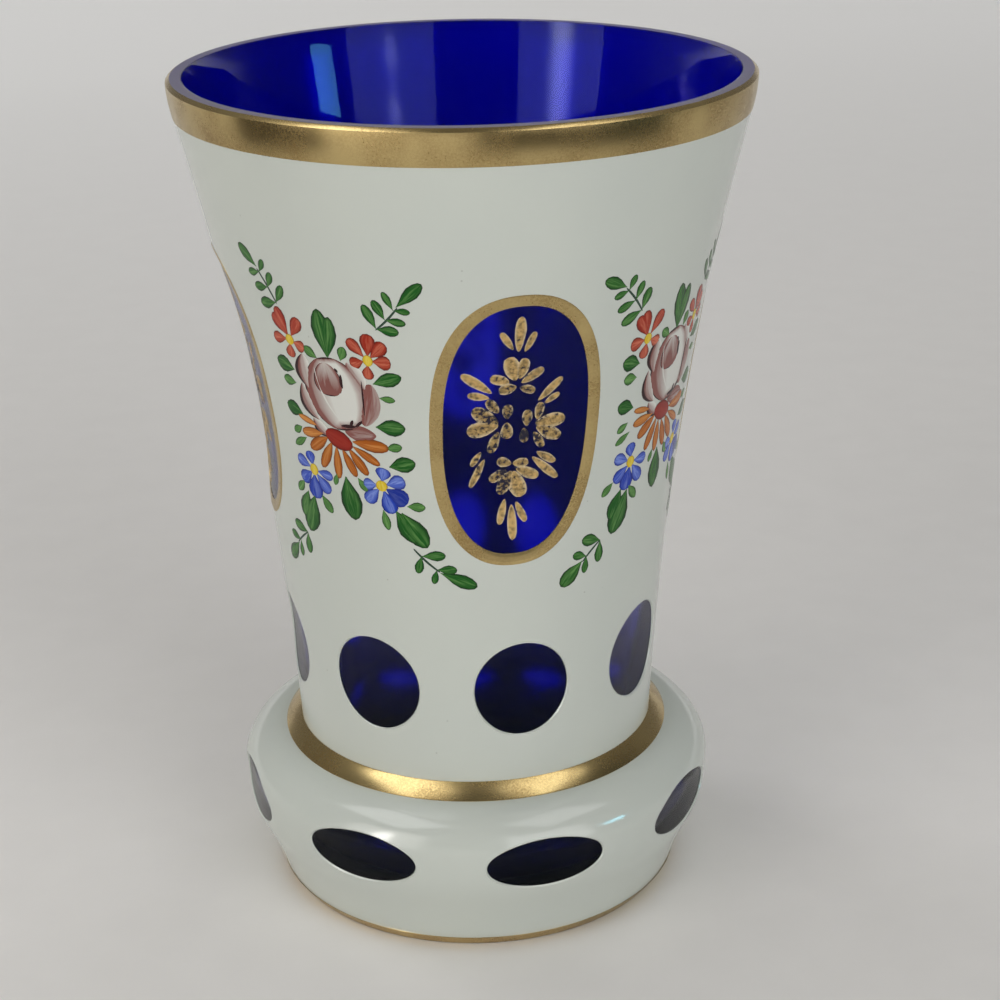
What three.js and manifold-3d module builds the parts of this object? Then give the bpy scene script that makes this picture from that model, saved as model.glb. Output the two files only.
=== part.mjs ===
// A cut overlay glass vase: a cobalt blue body cased in white, with windows ground through the casing
// and fired gilding on the rim, the waist, the foot and the upright ovals.
// Millimetres, +Z up, the origin at the centre of the foot on the surface the vase stands on.
// An upright oval faces -Y. Azimuths are in degrees, from -Y towards +X.
import * as THREE from "three";
import { mergeVertices } from "three/addons/utils/BufferGeometryUtils.js";
import Module from "manifold-3d";

// Outside of the vase
const HEIGHT = 210;
const RIM_RADIUS = 69.8;
const NECK_RADIUS = 45.8;
const NECK_Z = 43.4;
const FLARE_LEAN = 0.36; // share of the flare that is a straight cone
const FLARE_POWER = 2.15; // how late the rest of the flare opens
const SHOULDER_RADIUS = 49.8;
const SHOULDER_Z = 40.1;
const BELLY_RADIUS = 60.9;
const BELLY_Z = 31;
const FOOT_RADIUS = 52.4;
const FOOT_Z = 3;
const REST_RADIUS = 50.2;

// How full the curves of the base are, as shares of the span that each one bridges
const BELLY_TOP_FULLNESS = 0.45;
const SHOULDER_FULLNESS = 0.5;
const BELLY_LOW_FULLNESS = 0.5;
const FOOT_FULLNESS = 0.6;
const STEP_FULLNESS = 0.75;

// Inside of the vase
const RIM_WALL = 3.8;
const NECK_WALL = 5;
const BELLY_WALL = 9;
const FLOOR_THICKNESS = 13;
const FLOOR_RADIUS = 36;
const INSIDE_BELLY_SHARE = 0.45; // where the inside is widest, as a share of the way from floor to neck

// How full the curves of the inside are, as shares of the span that each one bridges
const INSIDE_TOP_FULLNESS = 0.5;
const INSIDE_LOW_FULLNESS = 0.7;
const INSIDE_FLOOR_FULLNESS = 0.6;

// Underside: a ground ring to stand on, round a shallow polished hollow
const REST_RING_WIDTH = 11;
const BASE_HOLLOW_DEPTH = 2.5;

// Layers
const OVERLAY_WALL = 0.4;
const CASING_GAP = 0.05;
const GILDING_WALL = 0.25;
const GILDING_GAP = 0.05;
const BEVEL_INTO_BLUE = 0.45;
const CASING_LIFT = 0.3; // the white stops this far above the surface that the blue foot stands on
const RIM_GILDING_HEIGHT = 8.4;

// Windows ground through the white: half sizes of the blue that shows, and how far the middle is dished
const OVAL = { count: 4, halfWidth: 16.9, halfHeight: 31.3, z: 137.2, turn: 0, dish: 1.35, sides: 24 };
const ROUND = { count: 8, halfWidth: 11.5, halfHeight: 12.3, z: 68.4, turn: 3, dish: 0.9, sides: 14 };
const BASE_OVAL = { count: 8, halfWidth: 14.7, halfHeight: 6.4, z: 27.3, turn: 5, dish: 0.8, sides: 14 };
const WINDOW_STEP = 0.25; // how far the wheel cuts into the blue at the very edge of a window
const GRINDING_CLEAR = 6; // how far a removed piece stands out of the glass
const OVAL_BORDER_WIDTH = 2.9;

// Facets
const TURNS = 40;
const FLARE_ROWS = 6;
const BELLY_ROWS = 4;
const STEP_ROWS = 2;
const HOLLOW_ROWS = 6;
const DISH_RINGS = 2;

// Colours
const COBALT = new THREE.MeshStandardMaterial({ color: 0x0a0c8c, roughness: 0.05, metalness: 0 });
const OPAL_WHITE = new THREE.MeshStandardMaterial({ color: 0xd6ddda, roughness: 0.12, metalness: 0 });
const GILT = new THREE.MeshStandardMaterial({ color: 0xb0935a, roughness: 0.3, metalness: 1 });

const wasm = await Module();
wasm.setup();

const rimBevel = OVERLAY_WALL + CASING_GAP + BEVEL_INTO_BLUE;
const bevelZ = HEIGHT - rimBevel;
const casing = OVERLAY_WALL + CASING_GAP;
const gilding = GILDING_WALL + GILDING_GAP;

function point(radius, z) {
  return new THREE.Vector2(radius, z);
}

function curve(from, fromControl, toControl, to, rows) {
  return new THREE.CubicBezierCurve(from, fromControl, toControl, to).getPoints(rows);
}

function mix(a, b, share) {
  return a + (b - a) * share;
}

// Radius of the trumpet above the neck, at a height.
function flareRadius(z) {
  const t = (z - NECK_Z) / (bevelZ - NECK_Z);
  const opening = FLARE_LEAN * t + (1 - FLARE_LEAN) * t ** FLARE_POWER;
  return NECK_RADIUS + (RIM_RADIUS - NECK_RADIUS) * opening;
}

function flareRow(row) {
  return mix(NECK_Z, bevelZ, row / FLARE_ROWS);
}

// The base from the surface it stands on up to the shoulder.
function basePoints() {
  const rest = point(REST_RADIUS, 0);
  const foot = point(FOOT_RADIUS, FOOT_Z);
  const belly = point(BELLY_RADIUS, BELLY_Z);
  const shoulder = point(SHOULDER_RADIUS, SHOULDER_Z);
  const footControl = point(
    mix(FOOT_RADIUS, BELLY_RADIUS, FOOT_FULLNESS),
    mix(FOOT_Z, BELLY_Z, FOOT_FULLNESS),
  );
  const lowControl = point(BELLY_RADIUS, mix(BELLY_Z, FOOT_Z, BELLY_LOW_FULLNESS));
  const topControl = point(BELLY_RADIUS, mix(BELLY_Z, SHOULDER_Z, BELLY_TOP_FULLNESS));
  const shoulderControl = point(mix(SHOULDER_RADIUS, BELLY_RADIUS, SHOULDER_FULLNESS), SHOULDER_Z);
  const low = curve(foot, footControl, lowControl, belly, BELLY_ROWS);
  const top = curve(belly, topControl, shoulderControl, shoulder, BELLY_ROWS);
  return [rest, ...low, ...top.slice(1)];
}

// The rounded step between the shoulder and the neck.
function stepPoints() {
  const shoulder = point(SHOULDER_RADIUS, SHOULDER_Z);
  const neck = point(NECK_RADIUS, NECK_Z);
  const riseControl = point(SHOULDER_RADIUS, mix(SHOULDER_Z, NECK_Z, STEP_FULLNESS));
  const turnControl = point(mix(NECK_RADIUS, SHOULDER_RADIUS, STEP_FULLNESS), NECK_Z);
  return curve(shoulder, riseControl, turnControl, neck, STEP_ROWS);
}

function flarePoints() {
  const points = [];
  for (let row = 0; row <= FLARE_ROWS; row++) {
    points.push(point(flareRadius(flareRow(row)), flareRow(row)));
  }
  return points;
}

const outside = [...basePoints(), ...stepPoints().slice(1), ...flarePoints().slice(1)];

// A profile moved in towards the axis, square to itself. Its two ends move level, so they keep their heights.
function inset(points, distance) {
  const normal = (from, to) => point(to.y - from.y, from.x - to.x).normalize();
  return points.map((p, i) => {
    if (i === 0 || i === points.length - 1) {
      return point(p.x - distance, p.y);
    }
    const before = normal(points[i - 1], p);
    const after = normal(p, points[i + 1]);
    const mitre = before.add(after);
    return p.clone().addScaledVector(mitre, (-2 * distance) / mitre.lengthSq());
  });
}

const blueOutside = inset(outside, casing);

// Radius of a rising profile at a height.
function radiusAt(points, z) {
  const next = Math.max(1, points.findIndex((p, i) => i > 0 && p.y >= z));
  const low = points[next - 1];
  const high = points[next];
  return mix(low.x, high.x, (z - low.y) / (high.y - low.y));
}

// The inside, from the rim down to the middle of the floor.
function hollowPoints() {
  const points = [point(RIM_RADIUS - RIM_WALL, HEIGHT)];
  for (let row = FLARE_ROWS - 1; row >= 1; row--) {
    const z = flareRow(row);
    const wall = mix(NECK_WALL, RIM_WALL, row / FLARE_ROWS);
    points.push(point(flareRadius(z) - wall, z));
  }
  const neck = point(NECK_RADIUS - NECK_WALL, NECK_Z);
  const belly = point(BELLY_RADIUS - BELLY_WALL, mix(FLOOR_THICKNESS, NECK_Z, INSIDE_BELLY_SHARE));
  const floor = point(FLOOR_RADIUS, FLOOR_THICKNESS);
  const neckControl = point(neck.x, mix(neck.y, belly.y, INSIDE_TOP_FULLNESS));
  const overControl = point(belly.x, mix(belly.y, neck.y, INSIDE_TOP_FULLNESS));
  const underControl = point(belly.x, mix(belly.y, floor.y, INSIDE_LOW_FULLNESS));
  const floorControl = point(mix(floor.x, belly.x, INSIDE_FLOOR_FULLNESS), floor.y);
  const over = curve(neck, neckControl, overControl, belly, HOLLOW_ROWS / 2);
  const under = curve(belly, underControl, floorControl, floor, HOLLOW_ROWS / 2);
  return [...points, ...over, ...under.slice(1), point(0, FLOOR_THICKNESS)];
}

function toSolid(geometry) {
  const bare = geometry.clone();
  bare.deleteAttribute("normal");
  bare.deleteAttribute("uv");
  const merged = mergeVertices(bare, 1e-4);
  return new wasm.Manifold(
    new wasm.Mesh({
      numProp: 3,
      vertProperties: merged.attributes.position.array,
      triVerts: new Uint32Array(merged.index.array),
    }),
  );
}

function toMesh(name, solid, material) {
  const { vertProperties, triVerts } = solid.getMesh();
  const geometry = new THREE.BufferGeometry();
  geometry.setAttribute("position", new THREE.BufferAttribute(vertProperties, 3));
  geometry.setIndex(new THREE.BufferAttribute(triVerts, 1));
  geometry.computeVertexNormals();
  const mesh = new THREE.Mesh(geometry, material);
  mesh.name = name;
  return mesh;
}

function revolve(points) {
  return toSolid(new THREE.LatheGeometry(points, TURNS).rotateX(Math.PI / 2));
}

// A closed ring whose outer side rises and whose inner side comes down again.
function ring(outer, inner) {
  return revolve([...outer, ...inner.toReversed(), outer[0]]);
}

// What grinding removes at one window: an elliptical plug with a domed inner face, which leaves a clean
// edge through the white and a shallow dish in the blue.
function groundAway(window, azimuth) {
  const profile = [point(0, 1), point(1, 1)];
  for (let ring = DISH_RINGS; ring >= 0; ring--) {
    profile.push(point(ring / DISH_RINGS, 0));
  }
  const plug = new THREE.LatheGeometry(profile.toReversed(), window.sides);
  const positions = plug.attributes.position;
  for (let i = 0; i < positions.count; i++) {
    const across = positions.getX(i);
    const up = positions.getZ(i);
    const z = window.z + up * window.halfHeight;
    const surface = radiusAt(blueOutside, z);
    const dished = surface - WINDOW_STEP - window.dish * (1 - across ** 2 - up ** 2);
    const radius = positions.getY(i) === 1 ? surface + GRINDING_CLEAR : dished;
    const angle = azimuth - Math.asin((across * window.halfWidth) / surface);
    positions.setXYZ(i, radius * Math.sin(angle), -radius * Math.cos(angle), z);
  }
  return toSolid(plug);
}

function azimuths(window) {
  const step = (2 * Math.PI) / window.count;
  return Array.from({ length: window.count }, (_, i) => THREE.MathUtils.degToRad(window.turn) + i * step);
}

function grindWindows(solid) {
  let ground = solid;
  for (const window of [OVAL, ROUND, BASE_OVAL]) {
    for (const azimuth of azimuths(window)) {
      ground = ground.subtract(groundAway(window, azimuth));
    }
  }
  return ground;
}

// The blue body, solid from the underside to the floor and open at the mouth.
function cobaltBody() {
  const rimOuter = RIM_RADIUS - casing;
  const profile = [
    point(0, BASE_HOLLOW_DEPTH),
    point(REST_RADIUS - REST_RING_WIDTH, 0),
    ...blueOutside,
    point(rimOuter, bevelZ + casing),
    point(RIM_RADIUS - rimBevel, HEIGHT),
    ...hollowPoints(),
  ];
  return grindWindows(revolve(profile));
}

// The stretch of the outside between two heights, with a point of its own at each end.
function stretch(lowZ, highZ) {
  const between = outside.filter((p) => p.y > lowZ && p.y < highZ);
  return [point(radiusAt(outside, lowZ), lowZ), ...between, point(radiusAt(outside, highZ), highZ)];
}

// The white casing, with all the windows ground through it.
function whiteOverlay() {
  const outer = stretch(CASING_LIFT, bevelZ);
  const inner = [...inset(outer, OVERLAY_WALL), point(RIM_RADIUS - OVERLAY_WALL, bevelZ + OVERLAY_WALL)];
  return grindWindows(ring(outer, inner));
}

// The rim's band runs up the flare and over the ground bevel to the flat top.
function rimGilding() {
  const side = stretch(HEIGHT - RIM_GILDING_HEIGHT, bevelZ);
  const overBevel = (points, lift) => [
    ...points.slice(0, -1),
    point(RIM_RADIUS + lift, bevelZ + lift * (Math.SQRT2 - 1)),
    point(RIM_RADIUS - rimBevel + lift * Math.SQRT2, HEIGHT),
  ];
  const outer = overBevel(inset(side, -gilding), gilding);
  const inner = overBevel(inset(side, -GILDING_GAP), GILDING_GAP);
  return ring(outer, inner);
}

function neckGilding() {
  const step = stepPoints();
  return ring(inset(step, -gilding), inset(step, -GILDING_GAP));
}

function footGilding() {
  const side = stretch(CASING_LIFT, FOOT_Z);
  return ring(inset(side, -gilding), inset(side, -GILDING_GAP));
}

// An elliptical tube that points out of the vase at an azimuth, as wide as an oval's border.
function borderTube(azimuth) {
  const shape = new THREE.Shape();
  const outline = (path, grow) => {
    path.absellipse(0, 0, OVAL.halfWidth + grow, OVAL.halfHeight + grow, 0, 2 * Math.PI);
    return path;
  };
  outline(shape, OVAL_BORDER_WIDTH);
  shape.holes.push(outline(new THREE.Path(), 0));
  const tube = new THREE.ExtrudeGeometry(shape, {
    depth: RIM_RADIUS + GRINDING_CLEAR,
    bevelEnabled: false,
    curveSegments: OVAL.sides / 2,
  });
  return toSolid(tube.rotateX(Math.PI / 2).rotateZ(azimuth).translate(0, 0, OVAL.z));
}

// The gilt border round an upright oval, laid on the white along the window's edge.
function ovalGilding(azimuth) {
  const side = flarePoints();
  const band = ring(inset(side, -gilding), inset(side, -GILDING_GAP));
  return band.intersect(borderTube(azimuth));
}

const vase = new THREE.Group();
vase.add(toMesh("cobalt_body", cobaltBody(), COBALT));
vase.add(toMesh("white_overlay", whiteOverlay(), OPAL_WHITE));
vase.add(toMesh("rim_gilding", rimGilding(), GILT));
vase.add(toMesh("neck_gilding", neckGilding(), GILT));
vase.add(toMesh("foot_gilding", footGilding(), GILT));
const sides = ["front", "right", "back", "left"];
azimuths(OVAL).forEach((azimuth, i) => {
  vase.add(toMesh(`oval_gilding_${sides[i] ?? i}`, ovalGilding(azimuth), GILT));
});

export default vase;
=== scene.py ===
"""A cut overlay glass vase: cobalt blue glass cased in opal white, with windows ground through the white,
fired gilding and painted enamel flowers.

Sizes are in millimetres and turned to metres where a mesh is made. +Z is up, the origin is the centre of the
foot, and azimuths are in degrees from -Y towards +X.
"""

import bisect
import logging
import math
from collections.abc import Iterable, Sequence
from dataclasses import dataclass, field, replace
from enum import Enum

import bpy
from bpy.types import Light, Material, Node, NodeSocket, NodeTree, Object
from mathutils import Matrix, Vector
from mathutils.geometry import delaunay_2d_cdt, interpolate_bezier


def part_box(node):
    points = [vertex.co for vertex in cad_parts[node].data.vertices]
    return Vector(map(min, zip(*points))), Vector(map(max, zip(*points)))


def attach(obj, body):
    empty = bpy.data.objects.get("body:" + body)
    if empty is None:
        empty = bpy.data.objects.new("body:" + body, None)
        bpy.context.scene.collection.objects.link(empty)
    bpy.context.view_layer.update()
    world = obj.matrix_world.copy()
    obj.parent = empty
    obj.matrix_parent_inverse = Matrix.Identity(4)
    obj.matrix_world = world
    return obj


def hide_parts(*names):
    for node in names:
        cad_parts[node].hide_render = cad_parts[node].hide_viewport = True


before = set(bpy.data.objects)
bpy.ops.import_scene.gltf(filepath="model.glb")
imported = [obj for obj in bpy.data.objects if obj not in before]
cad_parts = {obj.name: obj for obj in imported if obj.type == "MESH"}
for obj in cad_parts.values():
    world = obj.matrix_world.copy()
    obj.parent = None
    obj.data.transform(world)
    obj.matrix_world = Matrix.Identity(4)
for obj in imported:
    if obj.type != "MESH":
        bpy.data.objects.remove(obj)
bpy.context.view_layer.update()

LOG = logging.getLogger("vase")
MM = 0.001
BODY = "root"
MATH, VECTOR = "ShaderNodeMath", "ShaderNodeVectorMath"
MIX, RANGE, ATTRIBUTE = "ShaderNodeMix", "ShaderNodeMapRange", "ShaderNodeAttribute"
OWN, STORE = "GeometryNodeInputNamedAttribute", "GeometryNodeStoreNamedAttribute"
REAL = "GeometryNodeRealizeInstances"
WELD = 0.004
WINDOW_REACH = 60.0
SIDES = ("front", "right", "back", "left")
# How far a hand varies each value of a stroke: a share of the value, and a fixed part.
HAND_SWINGS = (("tone", 0.0, 0.0), ("long", 0.06, 0.0), ("half", 0.08, 0.0), ("turn", 0.0, 0.06))
LEAST_WIDTH = 0.05
LEAST_SHARE = 0.001
RAGS = 7.0
RAGS_APART = 60.0
SIDE_DROP = 0.6


def linear(code: str, alpha: float = 1.0) -> tuple[float, float, float, float]:
    """A colour written as sRGB hex, in the linear light that Blender works in.

    Args:
        code: the colour as "#RRGGBB".
        alpha: the fourth value.

    Returns:
        Linear red, green, blue and alpha.
    """
    shares = [int(code[i:i + 2], 16) / 255 for i in (1, 3, 5)]
    red, green, blue = (s / 12.92 if s <= 0.04045 else ((s + 0.055) / 1.055) ** 2.4 for s in shares)
    return red, green, blue, alpha


def mix(low: float, high: float, share: float) -> float:
    """The value a share of the way from low to high."""
    return low + (high - low) * share


def add_node(tree: NodeTree, kind: str, inputs: dict | tuple = (), **settings: object) -> Node:
    """Adds one node with its settings and links.

    Args:
        tree: the tree that gets the node.
        kind: the node's type.
        inputs: a value, a node or a socket for each input, in order or by its name or number. A name means
            the first input in use that has it, and a node stands for its first output in use.
        settings: properties of the node, such as operation="MULTIPLY".

    Returns:
        The new node.
    """
    node = tree.nodes.new(kind)
    for name, value in settings.items():
        setattr(node, name, value)
    for key, value in inputs.items() if isinstance(inputs, dict) else enumerate(inputs):
        in_use = (s for s in node.inputs if s.enabled and s.name == key)
        socket = node.inputs[key] if isinstance(key, int) else next(in_use)
        if isinstance(value, Node):
            value = next(s for s in value.outputs if s.enabled)
        if isinstance(value, NodeSocket):
            tree.links.new(value, socket)
        else:
            socket.default_value = value
    return node


def new_material(name: str) -> tuple[Material, NodeTree]:
    """An empty node material.

    Args:
        name: the real finish's name.

    Returns:
        The material and its tree.
    """
    material = bpy.data.materials.new(name)
    material.use_nodes = True
    material.node_tree.nodes.clear()
    return material, material.node_tree


def mesh_object(name: str, points: Sequence[Vector], faces: Sequence[Sequence[int]]) -> Object:
    """An object at the origin with a mesh given in millimetres.

    Args:
        name: the piece's name.
        points: the vertices, in millimetres.
        faces: vertex numbers of each face.

    Returns:
        The linked object, in metres.
    """
    mesh = bpy.data.meshes.new(name)
    mesh.from_pydata([Vector(p) * MM for p in points], [], [list(f) for f in faces])
    mesh.validate()
    piece = bpy.data.objects.new(name, mesh)
    bpy.context.scene.collection.objects.link(piece)
    return piece


class TreeMaker:
    """Builds a geometry node tree with named inputs, and bakes it onto an object as a plain mesh."""

    def __init__(self, name: str, inputs: dict[str, str]) -> None:
        """Starts the tree.

        Args:
            name: the tree's name.
            inputs: the socket type of each named input besides the geometry.
        """
        self.tree = bpy.data.node_groups.new(name, "GeometryNodeTree")
        face = self.tree.interface
        face.new_socket("Geometry", in_out="INPUT", socket_type="NodeSocketGeometry")
        self.identifiers = {
            label: face.new_socket(label, in_out="INPUT", socket_type=kind).identifier
            for label, kind in inputs.items()
        }
        face.new_socket("Geometry", in_out="OUTPUT", socket_type="NodeSocketGeometry")
        self.source = self.add("NodeGroupInput")

    def add(self, kind: str, inputs: dict | tuple = (), **settings: object) -> Node:
        """Adds a node to this tree, as add_node does."""
        return add_node(self.tree, kind, inputs, **settings)

    def given(self, label: str) -> NodeSocket:
        """The socket that brings the named input into the tree."""
        return self.source.outputs[label]

    def finish(self, geometry: Node) -> None:
        """Ends the tree: instances made real, the finish set, and the result given out.

        Args:
            geometry: the node whose first output is the shape.
        """
        real = self.add(REAL, (geometry,))
        dressed = self.add("GeometryNodeSetMaterial", {"Geometry": real, "Material": self.given("Material")})
        self.add("NodeGroupOutput", (dressed,))

    def bake(self, piece: Object, values: dict[str, object]) -> Object:
        """Runs the tree on an object and keeps the result as its plain mesh.

        Args:
            piece: the object whose mesh the tree starts from.
            values: what each named input is set to.

        Returns:
            The same object, with the new mesh and no modifier.
        """
        modifier = piece.modifiers.new(self.tree.name, "NODES")
        modifier.node_group = self.tree
        for label, value in values.items():
            modifier[self.identifiers[label]] = value
        evaluated = piece.evaluated_get(bpy.context.evaluated_depsgraph_get())
        mesh = bpy.data.meshes.new_from_object(evaluated)
        mesh.name = piece.name
        piece.modifiers.remove(modifier)
        piece.data = mesh
        return piece


def hand_over(piece: Object, slot: str, *nodes: str) -> None:
    """Tells the frame about a finished piece.

    Args:
        piece: the piece, with its place in its mesh.
        slot: a material slot's name; not used.
        nodes: the CAD nodes that it stands for.
    """
    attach(piece, BODY)
    if nodes:
        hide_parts(*nodes)
    LOG.info("%s: %d faces", piece.name, len(piece.data.polygons))


def smooth(piece: Object, crease: float) -> None:
    """Shades a piece smooth, apart from edges sharper than an angle in degrees."""
    piece.data.shade_smooth()
    piece.data.set_sharp_from_angle(angle=math.radians(crease))


class Profile:
    """A rising outline in the half plane of radius and height, measured along its length.

    Its normal is taken over a short reach to both sides.
    """

    REACH = 0.25

    def __init__(self, points: Sequence[Vector]) -> None:
        """Measures the outline.

        Args:
            points: (radius, height) in millimetres, closely spaced, from the bottom up.
        """
        self.points = [Vector(p) for p in points]
        self.lengths = [0.0]
        for low, high in zip(self.points, self.points[1:]):
            self.lengths.append(self.lengths[-1] + (high - low).length)
        self.heights = [p.y for p in self.points]

    @property
    def length(self) -> float:
        """The whole length of the outline."""
        return self.lengths[-1]

    def point(self, length: float) -> Vector:
        """A point of the outline.

        Args:
            length: how far along the outline it lies.

        Returns:
            Its (radius, height).
        """
        last = len(self.points) - 2
        i = min(max(bisect.bisect_right(self.lengths, length) - 1, 0), last)
        share = (length - self.lengths[i]) / (self.lengths[i + 1] - self.lengths[i])
        return self.points[i].lerp(self.points[i + 1], share)

    def normal(self, length: float) -> Vector:
        """The way outwards, square to the outline.

        Args:
            length: how far along the outline.

        Returns:
            A direction in the half plane, one long.
        """
        low = self.point(max(length - self.REACH, 0.0))
        high = self.point(min(length + self.REACH, self.length))
        rise = (high - low).normalized()
        return Vector((rise.y, -rise.x))

    def length_at(self, height: float) -> float:
        """Where the outline reaches a height.

        Args:
            height: the height.

        Returns:
            How far along the outline it lies.
        """
        i = min(max(bisect.bisect_left(self.heights, height), 1), len(self.points) - 1)
        low, high = self.points[i - 1], self.points[i]
        share = (height - low.y) / (high.y - low.y) if high.y > low.y else 0.0
        return mix(self.lengths[i - 1], self.lengths[i], share)

    def offset(self, length: float, distance: float) -> Vector:
        """The (radius, height) that lies a distance outside the outline, square to it."""
        return self.point(length) + self.normal(length) * distance


@dataclass(frozen=True)
class VaseShape:
    """The driving sizes of the vase and the curves that they make, in millimetres.

    The handles of a curve are shares of the way between its ends.
    """

    height: float
    rim_radius: float
    neck_radius: float = 45.8
    neck_z: float = 43.4
    flare_lean: float = 0.36
    flare_power: float = 2.15
    shoulder_radius: float = 49.8
    shoulder_z: float = 40.1
    belly_radius: float = 60.9
    belly_z: float = 31.0
    foot_radius: float = 52.4
    foot_z: float = 3.0
    rest_radius: float = 50.2
    low_handles: tuple[float, float] = (0.6, 0.5)
    top_handles: tuple[float, float] = (0.45, 0.5)
    step_handles: tuple[tuple[float, float], tuple[float, float]] = ((0.69, 0.37), (0.36, 0.71))
    rim_bevel: float = 0.9
    mouth_ease: tuple[float, float] = (0.25, 0.07)
    lip_height: float = 7.0
    lip_swell: float = 0.75
    lip_fade: float = 60.0
    rim_wall: float = 3.8
    neck_wall: float = 5.0
    belly_wall: float = 9.0
    bowl_share: float = 0.45
    bowl_handles: tuple[float, float] = (0.7, 0.6)
    floor_thickness: float = 13.0
    floor_radius: float = 36.0
    rest_ring: float = 11.0
    base_hollow: float = 2.5
    casing_lift: float = 0.3
    base_steps: tuple[int, int, int] = (80, 60, 50)
    flare_steps: int = 240

    @classmethod
    def from_frame(cls) -> "VaseShape":
        """Takes the height and the rim from the CAD nodes.

        Returns:
            The vase's sizes.
        """
        _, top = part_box("cobalt_body")
        _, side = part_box("white_overlay")
        return cls(height=top.z / MM, rim_radius=side.x / MM)

    @property
    def bevel_z(self) -> float:
        """Height at which the ground bevel of the rim starts."""
        return self.height - self.rim_bevel

    def flare(self, z: float) -> float:
        """The plain trumpet above the neck.

        Args:
            z: a height.

        Returns:
            The outer radius there.
        """
        t = (z - self.neck_z) / (self.bevel_z - self.neck_z)
        opening = self.flare_lean * t + (1 - self.flare_lean) * t ** self.flare_power
        return mix(self.neck_radius, self.rim_radius, opening)

    def side(self, z: float) -> float:
        """The trumpet with the fire-rounded lip, which swells just under the rim.

        Args:
            z: a height.

        Returns:
            The outer radius there.
        """
        below = (self.bevel_z - z) / self.lip_height
        if below < 1:
            swell = below * (2 - below)
        else:
            fade = min((below - 1) * self.lip_height / self.lip_fade, 1.0)
            swell = (1 + math.cos(math.pi * fade)) / 2
        return self.flare(z) + self.lip_swell * swell

    def base_curves(self) -> list[list[Vector]]:
        """The outside under the trumpet: foot to belly, over to the shoulder, and the step to the neck.

        Returns:
            The points of the three curves, from the bottom up.
        """
        low_steps, top_steps, step_steps = self.base_steps
        foot = Vector((self.foot_radius, self.foot_z))
        belly = Vector((self.belly_radius, self.belly_z))
        shoulder = Vector((self.shoulder_radius, self.shoulder_z))
        neck = Vector((self.neck_radius, self.neck_z))
        leave, arrive = self.low_handles
        below = Vector((belly.x, mix(belly.y, foot.y, arrive)))
        low = curve(foot, foot.lerp(belly, leave), below, belly, low_steps)
        leave, arrive = self.top_handles
        above = Vector((belly.x, mix(belly.y, shoulder.y, leave)))
        before = Vector((mix(shoulder.x, belly.x, arrive), shoulder.y))
        top = curve(belly, above, before, shoulder, top_steps)
        rise, turn = (
            Vector((mix(neck.x, shoulder.x, out), mix(shoulder.y, neck.y, up)))
            for out, up in self.step_handles
        )
        return [low, top, curve(shoulder, rise, turn, neck, step_steps)]

    def flare_curve(self, steps: int) -> list[Vector]:
        """The trumpet from the neck to the bevel of the rim, as steps + 1 points."""
        heights = [mix(self.neck_z, self.bevel_z, i / steps) for i in range(steps + 1)]
        return [Vector((self.side(z), z)) for z in heights]

    def foot_edge(self) -> Vector:
        """Where the white stops, just above the surface that the vase stands on."""
        share = self.casing_lift / self.foot_z
        return Vector((mix(self.rest_radius, self.foot_radius, share), self.casing_lift))

    def outside(self) -> Profile:
        """The outside of the white casing, from its foot to the bevel of the rim."""
        pieces = self.base_curves() + [self.flare_curve(self.flare_steps)]
        return Profile([self.foot_edge(), pieces[0][0]] + [p for piece in pieces for p in piece[1:]])

    def inside(self, steps: int) -> list[Vector]:
        """The inside of the vase, from the rim down to the middle of the floor.

        Args:
            steps: rows in the trumpet; the bowl below gets a third as many for each of its curves.

        Returns:
            (radius, height) of each row.
        """
        mouth = Vector((self.rim_radius - self.rim_wall, self.height))
        ease, cut = self.mouth_ease
        rows = [mouth + Vector((ease, 0)), mouth + Vector((cut, -cut)), mouth + Vector((0, -ease))]
        for i in range(steps - 1, 0, -1):
            z = mix(self.neck_z, self.bevel_z, i / steps)
            rows.append(Vector((self.flare(z) - mix(self.neck_wall, self.rim_wall, i / steps), z)))
        neck = Vector((self.neck_radius - self.neck_wall, self.neck_z))
        bowl_z = mix(self.floor_thickness, self.neck_z, self.bowl_share)
        belly = Vector((self.belly_radius - self.belly_wall, bowl_z))
        floor = Vector((self.floor_radius, self.floor_thickness))
        half = mix(neck.y, belly.y, 0.5)
        over = curve(neck, Vector((neck.x, half)), Vector((belly.x, half)), belly, steps // 3)
        leave, arrive = self.bowl_handles
        under = Vector((belly.x, mix(belly.y, floor.y, leave)))
        flat = Vector((mix(floor.x, belly.x, arrive), floor.y))
        low = curve(belly, under, flat, floor, steps // 3)
        return rows + over + low[1:] + [Vector((floor.x * share, floor.y)) for share in (0.66, 0.33, 0.0)]


def curve(start: Vector, leave: Vector, arrive: Vector, end: Vector, steps: int) -> list[Vector]:
    """A cubic curve from start to end by its two control points, as steps + 1 points."""
    return [Vector(p) for p in interpolate_bezier(start, leave, arrive, end, steps + 1)]


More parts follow.
